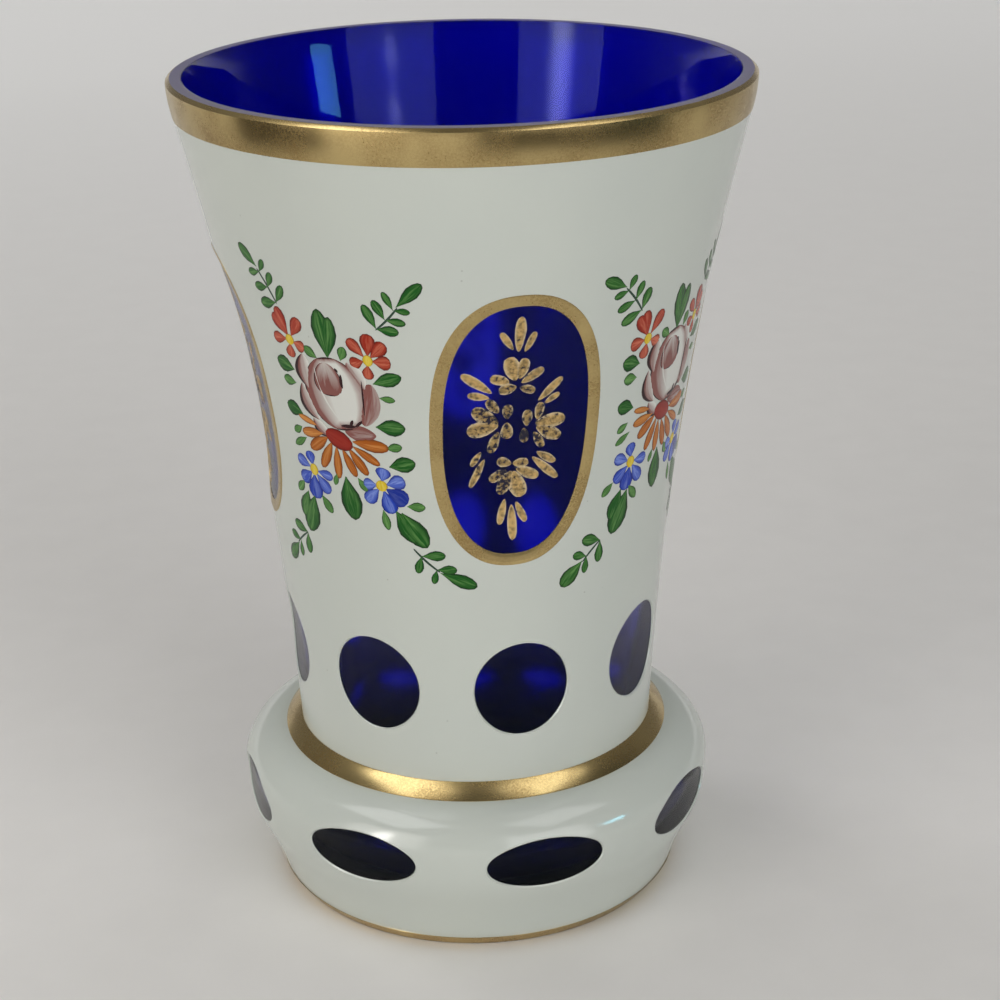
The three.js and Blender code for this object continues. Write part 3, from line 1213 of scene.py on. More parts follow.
@dataclass(frozen=True)
class Enamel:
    """Glass enamel laid on with a soft brush and fired: thin, glossy, streaked and darker where it pools.

    The outline and the tip are the shares of a stroke where paint pools at its sides and its end. Streaks
    fade over the pale reach, from the middle line outwards, and the hair edge is the stretch of noise that
    makes them. A washed enamel instead darkens from the edges that the stroke's washes name. The line share
    is how soft its dark line is, and the grain how far the streaks stir its shade.
    """

    name: str
    light: str
    body: str
    line: str
    outline: float = 0.42
    tip: float = 0.1
    pooling: float = 0.95
    streaks: float = 0.7
    pale_reach: tuple[float, float] = (0.15, 0.95)
    hairs: float = 3.2
    hair_edge: tuple[float, float] = (0.42, 0.62)
    tone_step: float = 40.0
    roughness: float = 0.22
    ior: float = 1.5
    specular: float = 0.25
    washed: bool = False
    least_wash: float = 0.01
    line_share: float = 0.35
    grain: tuple[float, float] = (0.8, 1.15)
    full_shade: float = 0.7

    def material(self) -> Material:
        """Colour that follows each stroke: pale streaks along its middle and a dark rim of pooled paint.

        Returns:
            The material.
        """
        material, tree = new_material(self.name)
        flat, signed, across = place_on_stroke(tree)
        deep = add_node(tree, ATTRIBUTE, attribute_name="deep").outputs["Fac"]
        streak = self.streak(tree, signed, flat.outputs["Y"])
        if self.washed:
            colour = self.washed_colour(tree, flat, streak, deep)
        else:
            colour = self.pooled_colour(tree, across, flat.outputs["Y"], streak, deep)
        shader = add_node(tree, "ShaderNodeBsdfPrincipled", {
            "Base Color": colour, "Roughness": self.roughness, "IOR": self.ior,
            "Specular IOR Level": self.specular,
        })
        add_node(tree, "ShaderNodeOutputMaterial", {"Surface": shader})
        return material

    def streak(self, tree: NodeTree, signed: Node, along: NodeSocket) -> Node:
        """Brush streaks that run along the stroke, 0 to 1.

        Args:
            tree: the material's tree.
            signed: place across the stroke, -1 to 1.
            along: place along it, 0 to 1.

        Returns:
            The node that gives the streaks.
        """
        tone = add_node(tree, ATTRIBUTE, attribute_name="tone").outputs["Fac"]
        apart = add_node(tree, MATH, (tone, self.tone_step), operation="MULTIPLY")
        hairs = add_node(tree, MATH, (signed, self.hairs), operation="MULTIPLY")
        place = add_node(tree, "ShaderNodeCombineXYZ", {"X": hairs, "Y": along, "Z": apart})
        noise = add_node(tree, "ShaderNodeTexNoise", {
            "Vector": place, "Scale": 1.0, "Detail": 3.0, "Roughness": 0.6,
        })
        return add_node(tree, RANGE, {
            "Value": noise, "From Min": self.hair_edge[0], "From Max": self.hair_edge[1],
        })

    def pooled_colour(
        self, tree: NodeTree, across: Node, along: NodeSocket, streak: Node, deep: NodeSocket,
    ) -> Node:
        """The body colour, paler in its streaks and dark where the paint pools.

        Args:
            tree: the material's tree.
            across: how far from the stroke's middle line, 0 to 1.
            along: place along the stroke, 0 to 1.
            streak: the brush streaks.
            deep: the least darkness of the whole stroke.

        Returns:
            The node that gives the colour.
        """
        middle = add_node(tree, RANGE, {
            "Value": across, "From Min": self.pale_reach[0], "From Max": self.pale_reach[1],
            "To Min": self.streaks, "To Max": 0.0,
        })
        pale = add_node(tree, ATTRIBUTE, attribute_name="pale").outputs["Fac"]
        lighter = add_node(tree, MATH, (streak, middle, pale), operation="MULTIPLY_ADD", use_clamp=True)
        inside = add_node(tree, MIX, {
            "Factor": lighter, "A": linear(self.body), "B": linear(self.light),
        }, data_type="RGBA")
        side = add_node(tree, RANGE, {"Value": across, "From Min": 1 - self.outline})
        end = add_node(tree, RANGE, {"Value": along, "From Min": 1 - self.tip})
        rim = add_node(tree, MATH, (side, end), operation="MAXIMUM")
        pooled = add_node(tree, MATH, (rim, self.pooling), operation="MULTIPLY")
        dark = add_node(tree, MATH, (pooled, deep), operation="MAXIMUM")
        return add_node(tree, MIX, {"Factor": dark, "A": inside, "B": linear(self.line)}, data_type="RGBA")

    def washed_colour(self, tree: NodeTree, flat: Node, streak: Node, deep: NodeSocket) -> Node:
        """White that darkens through the body colour towards the washed edges, with a dark line along them.

        Args:
            tree: the material's tree.
            flat: the shares across (X) and along (Y) the stroke.
            streak: the brush streaks.
            deep: the width of the dark line, as a share of the stroke.

        Returns:
            The node that gives the colour.
        """
        washes = add_node(tree, ATTRIBUTE, attribute_name="washes")
        reach = add_node(tree, "ShaderNodeSeparateXYZ", (washes.outputs["Vector"],))
        tip = add_node(tree, ATTRIBUTE, attribute_name="tip_wash").outputs["Fac"]
        side, along = flat.outputs["X"], flat.outputs["Y"]
        other = add_node(tree, MATH, (1.0, side), operation="SUBTRACT")
        ahead = add_node(tree, MATH, (1.0, along), operation="SUBTRACT")
        shade: Node | float = 0.0
        line: Node | float = 0.0
        for place, width in zip((side, other, along, ahead), (*reach.outputs, tip)):
            fade = add_node(tree, MATH, (place, width), operation="DIVIDE")
            dark = add_node(tree, MATH, (1.0, fade), operation="SUBTRACT", use_clamp=True)
            shade = add_node(tree, MATH, (shade, dark), operation="MAXIMUM")
            drawn = add_node(tree, MATH, (width, self.least_wash), operation="GREATER_THAN")
            thick = add_node(tree, MATH, (drawn, deep), operation="MULTIPLY")
            near = add_node(tree, MATH, (thick, place), operation="SUBTRACT")
            line = add_node(tree, MATH, (line, near), operation="MAXIMUM")
        crisp = add_node(tree, MATH, (deep, self.line_share, LEAST_SHARE), operation="MULTIPLY_ADD")
        drawn = add_node(tree, MATH, (line, crisp), operation="DIVIDE", use_clamp=True)
        grain = add_node(tree, RANGE, {"Value": streak, "To Min": self.grain[0], "To Max": self.grain[1]})
        soft = add_node(tree, MATH, (shade, grain), operation="MULTIPLY", use_clamp=True)
        tint = add_node(tree, RANGE, {"Value": soft, "From Max": self.full_shade})
        tinted = add_node(tree, MIX, {
            "Factor": tint, "A": linear(self.light), "B": linear(self.body),
        }, data_type="RGBA")
        return add_node(tree, MIX, {"Factor": drawn, "A": tinted, "B": linear(self.line)}, data_type="RGBA")


@dataclass(frozen=True)
class PasteGold:
    """Matt paste gold painted on the ground blue: tan, part metal, rubbed through in specks.

    The wear is how much a rubbed stroke adds to the specks. They thin the gold over the thinning range, and
    bare the dark blue over the baring range.
    """

    name: str = "paste_gold_rubbed"
    gold: str = "#C6A468"
    thin: str = "#8C7448"
    edge: str = "#D6C4A0"
    bare: str = "#14122C"
    metal: float = 0.3
    roughness: float = 0.5
    speck_mm: float = 0.9
    wear: float = 0.16
    thinning: tuple[float, float] = (0.42, 0.6)
    baring: tuple[float, float] = (0.62, 0.7)
    pooling: tuple[float, float] = (0.5, 0.8)

    def material(self) -> Material:
        """Tan gold with brush-wide thin places and dark rubbed specks.

        Returns:
            The material.
        """
        material, tree = new_material(self.name)
        place = add_node(tree, "ShaderNodeTexCoord").outputs["Object"]
        specks = add_node(tree, "ShaderNodeTexNoise", {
            "Vector": place, "Scale": 1 / (self.speck_mm * MM), "Detail": 4.0, "Roughness": 0.6,
        })
        rubbed = add_node(tree, ATTRIBUTE, attribute_name="deep").outputs["Fac"]
        wear = add_node(tree, MATH, (rubbed, self.wear, specks), operation="MULTIPLY_ADD")
        _, _, across = place_on_stroke(tree)
        pooled = add_node(tree, RANGE, {
            "Value": across, "From Min": self.pooling[0], "To Max": self.pooling[1],
        })
        thinned, through = (
            add_node(tree, RANGE, {"Value": wear, "From Min": low, "From Max": high})
            for low, high in (self.thinning, self.baring)
        )
        colour: Node | tuple = linear(self.gold)
        for amount, over in ((thinned, self.thin), (pooled, self.edge), (through, self.bare)):
            colour = add_node(tree, MIX, {
                "Factor": amount, "A": colour, "B": linear(over),
            }, data_type="RGBA")
        shader = add_node(tree, "ShaderNodeBsdfPrincipled", {
            "Base Color": colour, "Metallic": self.metal, "Roughness": self.roughness,
        })
        add_node(tree, "ShaderNodeOutputMaterial", {"Surface": shader})
        return material


class Paint(Enum):
    """The pots that the painter dips into. Each value is the finish that the pot gives."""

    LEAVES = Enamel("leaf_green_enamel", "#6C9C54", "#0E5412", "#051E0A", streaks=0.6)
    STEMS = Enamel("stem_green_enamel", "#4C6353", "#2C4537", "#16261D", streaks=0.2)
    RED_PETALS = Enamel("red_enamel", "#C86F54", "#98240F", "#4C0E08")
    YELLOW_DABS = Enamel("yellow_enamel", "#E2D368", "#D2B422", "#97761A", outline=0.25)
    ORANGE_PETALS = Enamel("orange_enamel", "#CC8C44", "#A4540C", "#5A2C08")
    BRICK_DAB = Enamel("brick_red_enamel", "#A83A26", "#8A1A0A", "#4A0C04", streaks=0.4, outline=0.3)
    BLUE_PETALS = Enamel("blue_enamel", "#869CDC", "#1038B0", "#081870", streaks=0.6)
    ROSE = Enamel("mauve_wash_enamel", "#D4D5CF", "#82504A", "#2C1014", washed=True)
    DARK_LINES = Enamel("dark_line_enamel", "#48282A", "#2C1014", "#1E0A0E", streaks=0.2)
    GILT = PasteGold()


@dataclass(frozen=True)
class Stroke:
    """One touch of the brush on the unrolled side of the vase, in millimetres and degrees.

    It starts at (x, y) and heads along turn. The washes are the shares of it that darken from its left and
    right edges, its root and its tip.
    """

    x: float
    y: float
    turn: float
    long: float
    wide: float
    belly: float = 0.62
    root: float = 1.0
    blunt: float = 0.5
    bend: float = 0.0
    pale: float = 0.0
    deep: float = 0.0
    washes: tuple[float, float, float, float] = (0.0, 0.0, 0.0, 0.0)
    layer: float = 0.0


Touch = tuple[Paint, Stroke]


def step_along(x: float, y: float, turn: float, distance: float) -> tuple[float, float]:
    """The place reached from (x, y) by going a distance at a turn in degrees."""
    angle = math.radians(turn)
    return x + math.cos(angle) * distance, y + math.sin(angle) * distance


def oval_patch(x: float, y: float, turn: float, long: float, wide: float, **look: object) -> Stroke:
    """A stroke in the shape of an ellipse round (x, y), with its long axis heading along turn."""
    start = step_along(x, y, turn, -long / 2)
    return Stroke(*start, turn, long, wide, belly=0.5, root=0.5, blunt=0.5, **look)


@dataclass(frozen=True)
class Sprig:
    """A thin stem with small leaves in pairs and a longer leaf at its tip.

    Left, right and tip are each a turn from the stem's own way, a length and a width.
    """

    x: float
    y: float
    turn: float
    stem: float
    left: tuple[float, float, float]
    right: tuple[float, float, float]
    tip: tuple[float, float, float]
    pairs: int = 3
    first: float = 0.05
    last: float = 0.84
    shrink: float = 0.85
    pale: float = 0.0

    def touches(self) -> Iterable[Touch]:
        """Paints the stem, its paired leaves and its tip leaf.

        Returns:
            Its strokes.
        """
        yield Paint.STEMS, Stroke(self.x, self.y, self.turn, self.stem, 0.55, 0.5, 0.25, 0.25, bend=0.03)
        for pair in range(self.pairs):
            share = mix(self.first, self.last, pair / (self.pairs - 1))
            node = step_along(self.x, self.y, self.turn, self.stem * share)
            size = self.shrink ** pair
            for way, side in ((1, self.left), (-1, self.right)):
                lean, long, wide = side
                yield Paint.LEAVES, Stroke(
                    *node, self.turn + way * lean, long * size, wide * size, pale=self.pale,
                )
        end = step_along(self.x, self.y, self.turn, self.stem * 0.97)
        lean, long, wide = self.tip
        yield Paint.LEAVES, Stroke(*end, self.turn + lean, long, wide, pale=self.pale)


@dataclass(frozen=True)
class Leaves:
    """Single leaves, each given as x, y, turn, length and width."""

    each: tuple[tuple[float, float, float, float, float], ...]
    pale: float = 0.0
    layer: float = 0.0

    def touches(self) -> Iterable[Touch]:
        """One stroke for each leaf."""
        for leaf in self.each:
            yield Paint.LEAVES, Stroke(*leaf, belly=0.58, blunt=0.6, pale=self.pale, layer=self.layer)


@dataclass(frozen=True)
class Blossom:
    """A small open flower: petals from a yellow dab, each given as turn, length, width and paleness."""

    x: float
    y: float
    paint: Paint
    petals: tuple[tuple[float, float, float, float], ...]
    radius: float = 1.4

    def touches(self) -> Iterable[Touch]:
        """Paints the petals, and the dab over their roots. A paleness under nought is darkness.

        Returns:
            Its strokes.
        """
        for number, (turn, long, wide, pale) in enumerate(self.petals):
            start = step_along(self.x, self.y, turn, self.radius * 0.75)
            yield self.paint, Stroke(
                *start, turn, long + self.radius * 0.25, wide, belly=0.66, root=0.8, blunt=0.45,
                pale=max(pale, 0.0), deep=max(-pale, 0.0), layer=0.002 * number,
            )
        dab = 2 * self.radius
        yield Paint.YELLOW_DABS, oval_patch(self.x, self.y, 90.0, dab, dab * 0.95, layer=0.03)


@dataclass(frozen=True)
class HalfDaisy:
    """A daisy seen from the side: petals that hang in a fan from an oval centre.

    A petal is x, y, turn, length and width, and the centre is turn, length and width.
    """

    x: float = 0.5
    y: float = -3.6
    petals: tuple[tuple[float, float, float, float, float], ...] = (
        (-5.2, -1.4, 168, 6.6, 1.9), (-4, -3, -173, 7.5, 2.7), (-2.8, -3.7, -146, 7.8, 3),
        (-1.7, -4.7, -117, 8.3, 2.9), (-0.6, -5.5, -92, 8.3, 2.6), (1, -5.9, -68, 7.8, 2.7),
        (2.8, -5.4, -55, 8, 2.8), (4, -4.8, -34, 7.7, 2.3), (4.2, -3.6, 0, 8.9, 3.7),
    )
    centre: tuple[float, float, float] = (-20, 7.8, 5.3)
    pale_petals: int = 2

    def touches(self) -> Iterable[Touch]:
        """Paints the petals from left to right, and the centre over their roots.

        Returns:
            Its strokes.
        """
        for number, petal in enumerate(self.petals):
            pale = 0.35 if number < self.pale_petals else 0
            yield Paint.ORANGE_PETALS, Stroke(
                *petal, belly=0.6, root=0.7, blunt=0.45, pale=pale, layer=0.002 * number,
            )
        yield Paint.BRICK_DAB, oval_patch(self.x, self.y, *self.centre, layer=0.04)


@dataclass(frozen=True)
class Rose:
    """A full rose: an oval cup washed mauve inside its rim, a bud in its mouth, and outer petals."""

    x: float = 1.3
    y: float = 8.1
    turn: float = 99.5
    long: float = 18.4
    wide: float = 17.8

    def touches(self) -> Iterable[Touch]:
        """Paints the outer petals first, then the cup, the pale line in it, the bud and the dark lines.

        Returns:
            Its strokes.
        """
        bare = LEAST_SHARE
        outer = (
            (8.2, 1, 75, 11.2, 7.4, -0.05, 0.07, (1.8, bare, bare, bare)),
            (9.6, 10.4, 120, 7.4, 4.4, 0, 0, (0.9, bare, bare, bare)),
            (-6.4, 8.2, 92, 8.6, 5.4, -0.07, 0.25, (0.9, bare, bare, bare)),
            (-4.6, 0.4, 114, 9.4, 5, -0.1, 0.25, (0.85, bare, bare, bare)),
            (-2.2, -3.3, 138, 5.6, 3.6, -0.08, 0.28, (0.9, bare, bare, bare)),
            (2.6, -1.3, 0, 8.2, 4.2, 0, 0, (1.4, 0.7, 0.9, 0.4)),
        )
        for *place, bend, line, washes in outer:
            yield Paint.ROSE, Stroke(*place, 0.5, 0.7, 0.7, bend, deep=line, washes=washes)
        yield Paint.ROSE, oval_patch(
            self.x, self.y, self.turn, self.long, self.wide, deep=0.03, washes=(0.42, 0.2, 0.14, 0.09),
            layer=0.02,
        )
        yield Paint.ROSE, Stroke(2.2, 0.9, 113, 14.2, 0.7, 0.5, 0.6, 0.6, -0.1, layer=0.03)
        yield Paint.ROSE, Stroke(
            -0.3, 15.6, -87, 8.2, 8.4, 0.6, 0.34, 0.42, deep=0.045, washes=(0.4, 0.32, bare, 1.3),
            layer=0.045,
        )
        lines = (
            (3.7, 13.4, -92, 3.4, 0.9), (2.3, 14.7, -51, 1.3, 0.6), (1.7, 0.1, 4, 4.3, 0.9),
            (4.3, 0.4, 63, 1.8, 0.9), (5.6, 0.4, 42, 2.6, 0.7), (9, 12.6, -95, 9.4, 0.45),
        )
        for place in lines:
            yield Paint.DARK_LINES, Stroke(*place, 0.5, 0.6, 0.6, layer=0.06)


@dataclass(frozen=True)
class GiltFlower:
    """Gilt strokes in small fans, each given as x, y, turn, length, width and how rubbed it is.

    The whole flower is drawn narrower and aside by a little, and its strokes fuller, than the places say.
    """

    each: tuple[tuple[float, float, float, float, float, float], ...]
    narrow: float = 0.97
    aside: float = -0.34
    fuller: float = 1.06

    def touches(self) -> Iterable[Touch]:
        """Paints one stroke for each entry.

        Returns:
            Its strokes.
        """
        for number, (x, y, turn, long, wide, rubbed) in enumerate(self.each):
            yield Paint.GILT, Stroke(
                self.narrow * x + self.aside, y, turn, long, wide * self.fuller, belly=0.58, root=0.5,
                blunt=0.36, deep=rubbed, layer=0.001 * number,
            )


@dataclass(frozen=True)
class Spray:
    """One painted spray between two upright ovals, with what its painter did differently there.

    The sprig turn is how far its upper left sprig stands up from the usual slant, in degrees. The left shift
    and the flower drop are how far its left side stands outwards and its left red flower hangs.
    """

    name: str
    azimuth: float
    sprig_turn: float
    left_shift: float
    flower_drop: float

    def forms(self) -> tuple:
        """The forms of the spray.

        Returns:
            Its sprigs, leaves and flowers, in the order in which they are painted.
        """
        lean = math.radians(self.sprig_turn)
        away, drop = self.left_shift, self.flower_drop
        left_leaves = (
            (-10.3, 11.9, 163, 6.1, 4.2), (-9.9, 0.7, 163, 5.4, 3.9),
        )
        left_small = (
            (-10.5, 8.5, 176, 4.3, 3.1), (-11, -2.8, -150, 3.6, 2.1), (-9.9, -5.4, -146, 5.2, 2.1),
            (-7.5, -19.9, -53.5, 5.2, 2.7), (-13.2, -17.6, -133, 4.2, 2.3),
        )
        return (
            Sprig(14.6, 25.6, 46, 8.6, (68, 6.3, 2.8), (53, 5.5, 2.6), (-4, 9.1, 3.2)),
            Sprig(-15.1 + 14 * lean, 25.4 + 12 * lean, 133 - self.sprig_turn, 10, (67, 5.9, 3),
                  (62, 5.4, 2.8), (24 - 0.5 * self.sprig_turn, 7.6, 3.2), pale=0.1),
            Sprig(16.4, -29.8, -46, 8.8, (48, 5.6, 3), (60, 4.8, 2.2), (20, 8.8, 4), 2, 0.3),
            Sprig(-15 - away, -32.1, -138, 6.6, (47, 5.9, 2.7), (57, 5.7, 3.2), (2, 7.6, 4.3),
                  2, 0, 0.75, 0.74, 0.1),
            Leaves((
                (-12.3, -20.1, -113, 8, 4.6), (13.2, -20.2, -62, 9.2, 4.8),
                (0.7, 17.3, 94.5, 12.2, 5.4),
            )),
            Leaves((
                (-10.1, -20.8, -106, 10.8, 6), (14.6, -20.6, -56, 10.8, 6),
                (1, 17.2, 77, 10.6, 4.7), (0.9, -13.2, -87, 10.8, 5.9),
            ), layer=0.012),
            Leaves((
                (11.8, 12, 18, 7.5, 3.9), (10.9, 1.1, 4, 6.9, 4.1), (12.9, -8.9, 15, 6.5, 4),
                *((x - away, *rest) for x, *rest in left_leaves),
            )),
            Leaves((
                (12.8, 8.6, -3, 3.8, 1.9), (12.7, -4.3, 15, 3.9, 2.5), (-2.3, 16.4, 150, 4.2, 2.6),
                (4.3, 16.9, 66, 4, 2.6), (-1.5, -12.9, -107, 3.3, 1.7), (4.3, -12.9, -60, 3.9, 2.2),
                (10, -20.3, -79, 5.4, 2.4), (16.1, -18.8, 4, 4.4, 2.6),
                *((x - away, *rest) for x, *rest in left_small),
            ), pale=0.35),
            Rose(),
            HalfDaisy(),
            Blossom(11.4, 17.8, Paint.RED_PETALS, (
                (-96, 3.4, 3.2, 0.15), (195, 3.6, 3.1, 0.1), (-4, 4.4, 3.5, 0.2),
                (133, 5, 3.4, 0.1), (45, 5, 3.8, 0), (80, 5.6, 4.2, 0),
            )),
            Blossom(-10 - away / 2, 19.7 - drop, Paint.RED_PETALS, (
                (-97, 3.4, 3.3, 0.35), (-25, 3.2, 3.2, 0.5), (187, 4.2, 3.4, 0.25),
                (56, 5.8, 3.6, 0.15), (126, 6.2, 3.5, 0), (110, 6.5, 3.5, 0),
            )),
            Blossom(10.4, -14, Paint.BLUE_PETALS, (
                (79, 3.3, 4.1, 0.15), (16, 5, 3.7, 0.25), (-179, 3.4, 3.1, 0.4),
                (-132, 4.9, 3.7, 0.2), (-73, 5.6, 4.4, 0), (-35, 5.9, 5.3, -0.6),
            ), 1.5),
            Blossom(-9 - away / 2, -13.6, Paint.BLUE_PETALS, (
                (102, 3.4, 3.4, 0.1), (156, 4.4, 3.3, 0.25), (-5, 4.3, 3, 0.2),
                (-141, 4.8, 3.8, 0.1), (-53, 5.6, 3.6, 0.15), (-96, 6, 4.9, -0.2),
            ), 1.5),
        )


SPRAYS = (
    Spray("front_right", 45, 0, 2.2, 1.9),
    Spray("back_right", 135, 4, 1.1, 1),
    Spray("back_left", 225, 8, 0.6, 0.4),
    Spray("front_left", 315, 12, 0, 0),
)
MOTIF = GiltFlower((
    (0.3, 19.7, 87, 8.8, 2.7, 0), (-1, 20.3, 125, 5.2, 1.7, 0.1), (1.9, 19.6, 64, 5.2, 1.7, 0.1),
    (-0.1, 12.4, 104, 6.2, 3.9, 0.1), (0.9, 12.8, 74, 5.4, 2.9, 0.3), (-1.6, 12, 163, 4.8, 2.4, 0.3),
    (1.4, 11.7, 31, 5.9, 2.3, 0.4), (0.2, 10.8, -169, 4.1, 2.7, 0.6), (1.1, 10.5, -14, 3.7, 2.2, 0.7),
    (-5.8, 9.6, 144, 8.8, 2.3, 0), (-6.4, 8.4, 170, 5, 1.9, 0.1),
    (5.7, 6.8, 46, 7.8, 1.8, 0.2), (7.3, 6, 34, 4.2, 1.4, 0.3),
    (-4, 4.5, 131, 4.6, 2.2, 0.9), (-1.9, 2.7, 86, 3.8, 2.5, 0.9),
    (3, 0.6, 85, 4, 2.3, 0.7), (5.6, 2, 77, 4.5, 2.3, 0.7),
    (-1.9, 1.9, -90, 4.4, 2.8, 0.6), (2.4, 0.2, -86, 3.6, 2.1, 1.4),
    (-4.1, 1.8, 150, 7, 3.4, 1), (-4, 1.3, -170, 7.5, 3.6, 0.4),
    (5.2, 1, 6, 7.1, 3.4, 0.3), (5.4, 0.3, -27, 6.9, 3, 0.6),
    (-4, -0.4, -111, 5.5, 2.5, 0.9), (4.9, -1.1, -58, 4.8, 2.1, 0.9),
    (-8.2, -5.1, -121, 4.2, 1.6, 0.5), (-7.3, -7, -118, 7.5, 1.8, 0.3),
    (5.7, -6.2, -30, 5.5, 1.9, 0.4), (4.6, -7.4, -43, 8.4, 2.1, 0.2),
    (-0.6, -8.7, 165, 3.5, 2.3, 0.7), (-0.3, -8.6, 2, 4, 2.3, 0.5),
    (0.6, -10, -23, 5.8, 2.7, 0.3), (-1.8, -10.2, -151, 4.9, 2.4, 0.9),
    (-0.6, -10.5, -117, 6.6, 3.3, 1.1), (0, -10.6, -77, 6.6, 4, 0.2),
    (-2.2, -17.5, -101, 6.8, 1.9, 0.1), (-0.5, -19, -89, 8.7, 2.1, 0),
    (0.6, -18.4, -64, 5.9, 1.8, 0.2),
))


def stamp(name: str, across: int, along: int) -> Object:
    """The flat closed tablet that each stroke is pressed from, one metre long and wide.

    Args:
        name: its name.
        across: how many faces it has across.
        along: how many along, closer at its ends.

    Returns:
        The tablet.
    """
    wide = across + 1
    rows = [(1 - math.cos(math.pi * row / along)) / 2 for row in range(along + 1)]
    points = [Vector((i / across, v, top)) / MM for top in (1.0, 0.0) for v in rows for i in range(wide)]
    count = wide * (along + 1)
    corners = [row * wide + i for row in range(along) for i in range(across)]
    top = [(c, c + 1, c + 1 + wide, c + wide) for c in corners]
    bottom = [tuple(i + count for i in reversed(face)) for face in top]
    sides = [(high, low, low + count, high + count) for low, high in open_edges(top)]
    return mesh_object(name, points, top + bottom + sides)


def brush_tree() -> TreeMaker:
    """The tree that presses a stroke from the tablet at each point, shaped by the point's attributes.

    Returns:
        The tree.
    """
    maker = TreeMaker("brush_strokes", {
        "Tablet": "NodeSocketObject", "Relief": "NodeSocketFloat", "Bottom": "NodeSocketFloat",
        "Hand": "NodeSocketFloat", "Ragged": "NodeSocketFloat", "Seed": "NodeSocketInt",
        "Material": "NodeSocketMaterial",
    })
    base = maker.add(OWN, {"Name": "base"}, data_type="FLOAT_VECTOR")
    position = maker.add("GeometryNodeInputPosition")
    points = maker.add(STORE, {
        "Geometry": vary_strokes(maker), "Name": "base", "Value": position,
    }, data_type="FLOAT_VECTOR", domain="POINT")
    tablet = maker.add("GeometryNodeObjectInfo", {"Object": maker.given("Tablet")})
    pressed = maker.add("GeometryNodeInstanceOnPoints", {
        "Points": points, "Instance": tablet.outputs["Geometry"],
    })
    real = maker.add(REAL, (pressed,))
    local = maker.add(VECTOR, (position, base), operation="SUBTRACT")
    kept = maker.add(STORE, {
        "Geometry": real, "Name": "stroke", "Value": local,
    }, data_type="FLOAT_VECTOR", domain="POINT")
    moved = maker.add(VECTOR, (pressed_place(maker), base), operation="ADD")
    maker.finish(maker.add("GeometryNodeSetPosition", {"Geometry": kept, "Position": moved}))
    return maker


def vary_strokes(maker: TreeMaker) -> Node:
    """Gives each stroke its own tone, and varies its size and turn as a hand does.

    Args:
        maker: the brush tree's maker.

    Returns:
        The node that gives the points.
    """
    points = maker.given("Geometry")
    for number, (label, part, fixed) in enumerate(HAND_SWINGS):
        seed = maker.add(MATH, (maker.given("Seed"), float(number)), operation="ADD")
        draw = maker.add("FunctionNodeRandomValue", {
            "Min": -1.0, "Max": 1.0, "Seed": seed,
        }, data_type="FLOAT")
        if label == "tone":
            value = maker.add(MATH, (draw, 0.5, 0.5), operation="MULTIPLY_ADD")
        else:
            own = maker.add(OWN, {"Name": label}, data_type="FLOAT")
            reach = maker.add(MATH, (own, part, fixed), operation="MULTIPLY_ADD")
            swing = maker.add(MATH, (draw, maker.given("Hand")), operation="MULTIPLY")
            value = maker.add(MATH, (swing, reach, own), operation="MULTIPLY_ADD")
        points = maker.add(STORE, {
            "Geometry": points, "Name": label, "Value": value,
        }, data_type="FLOAT", domain="POINT")
    return points


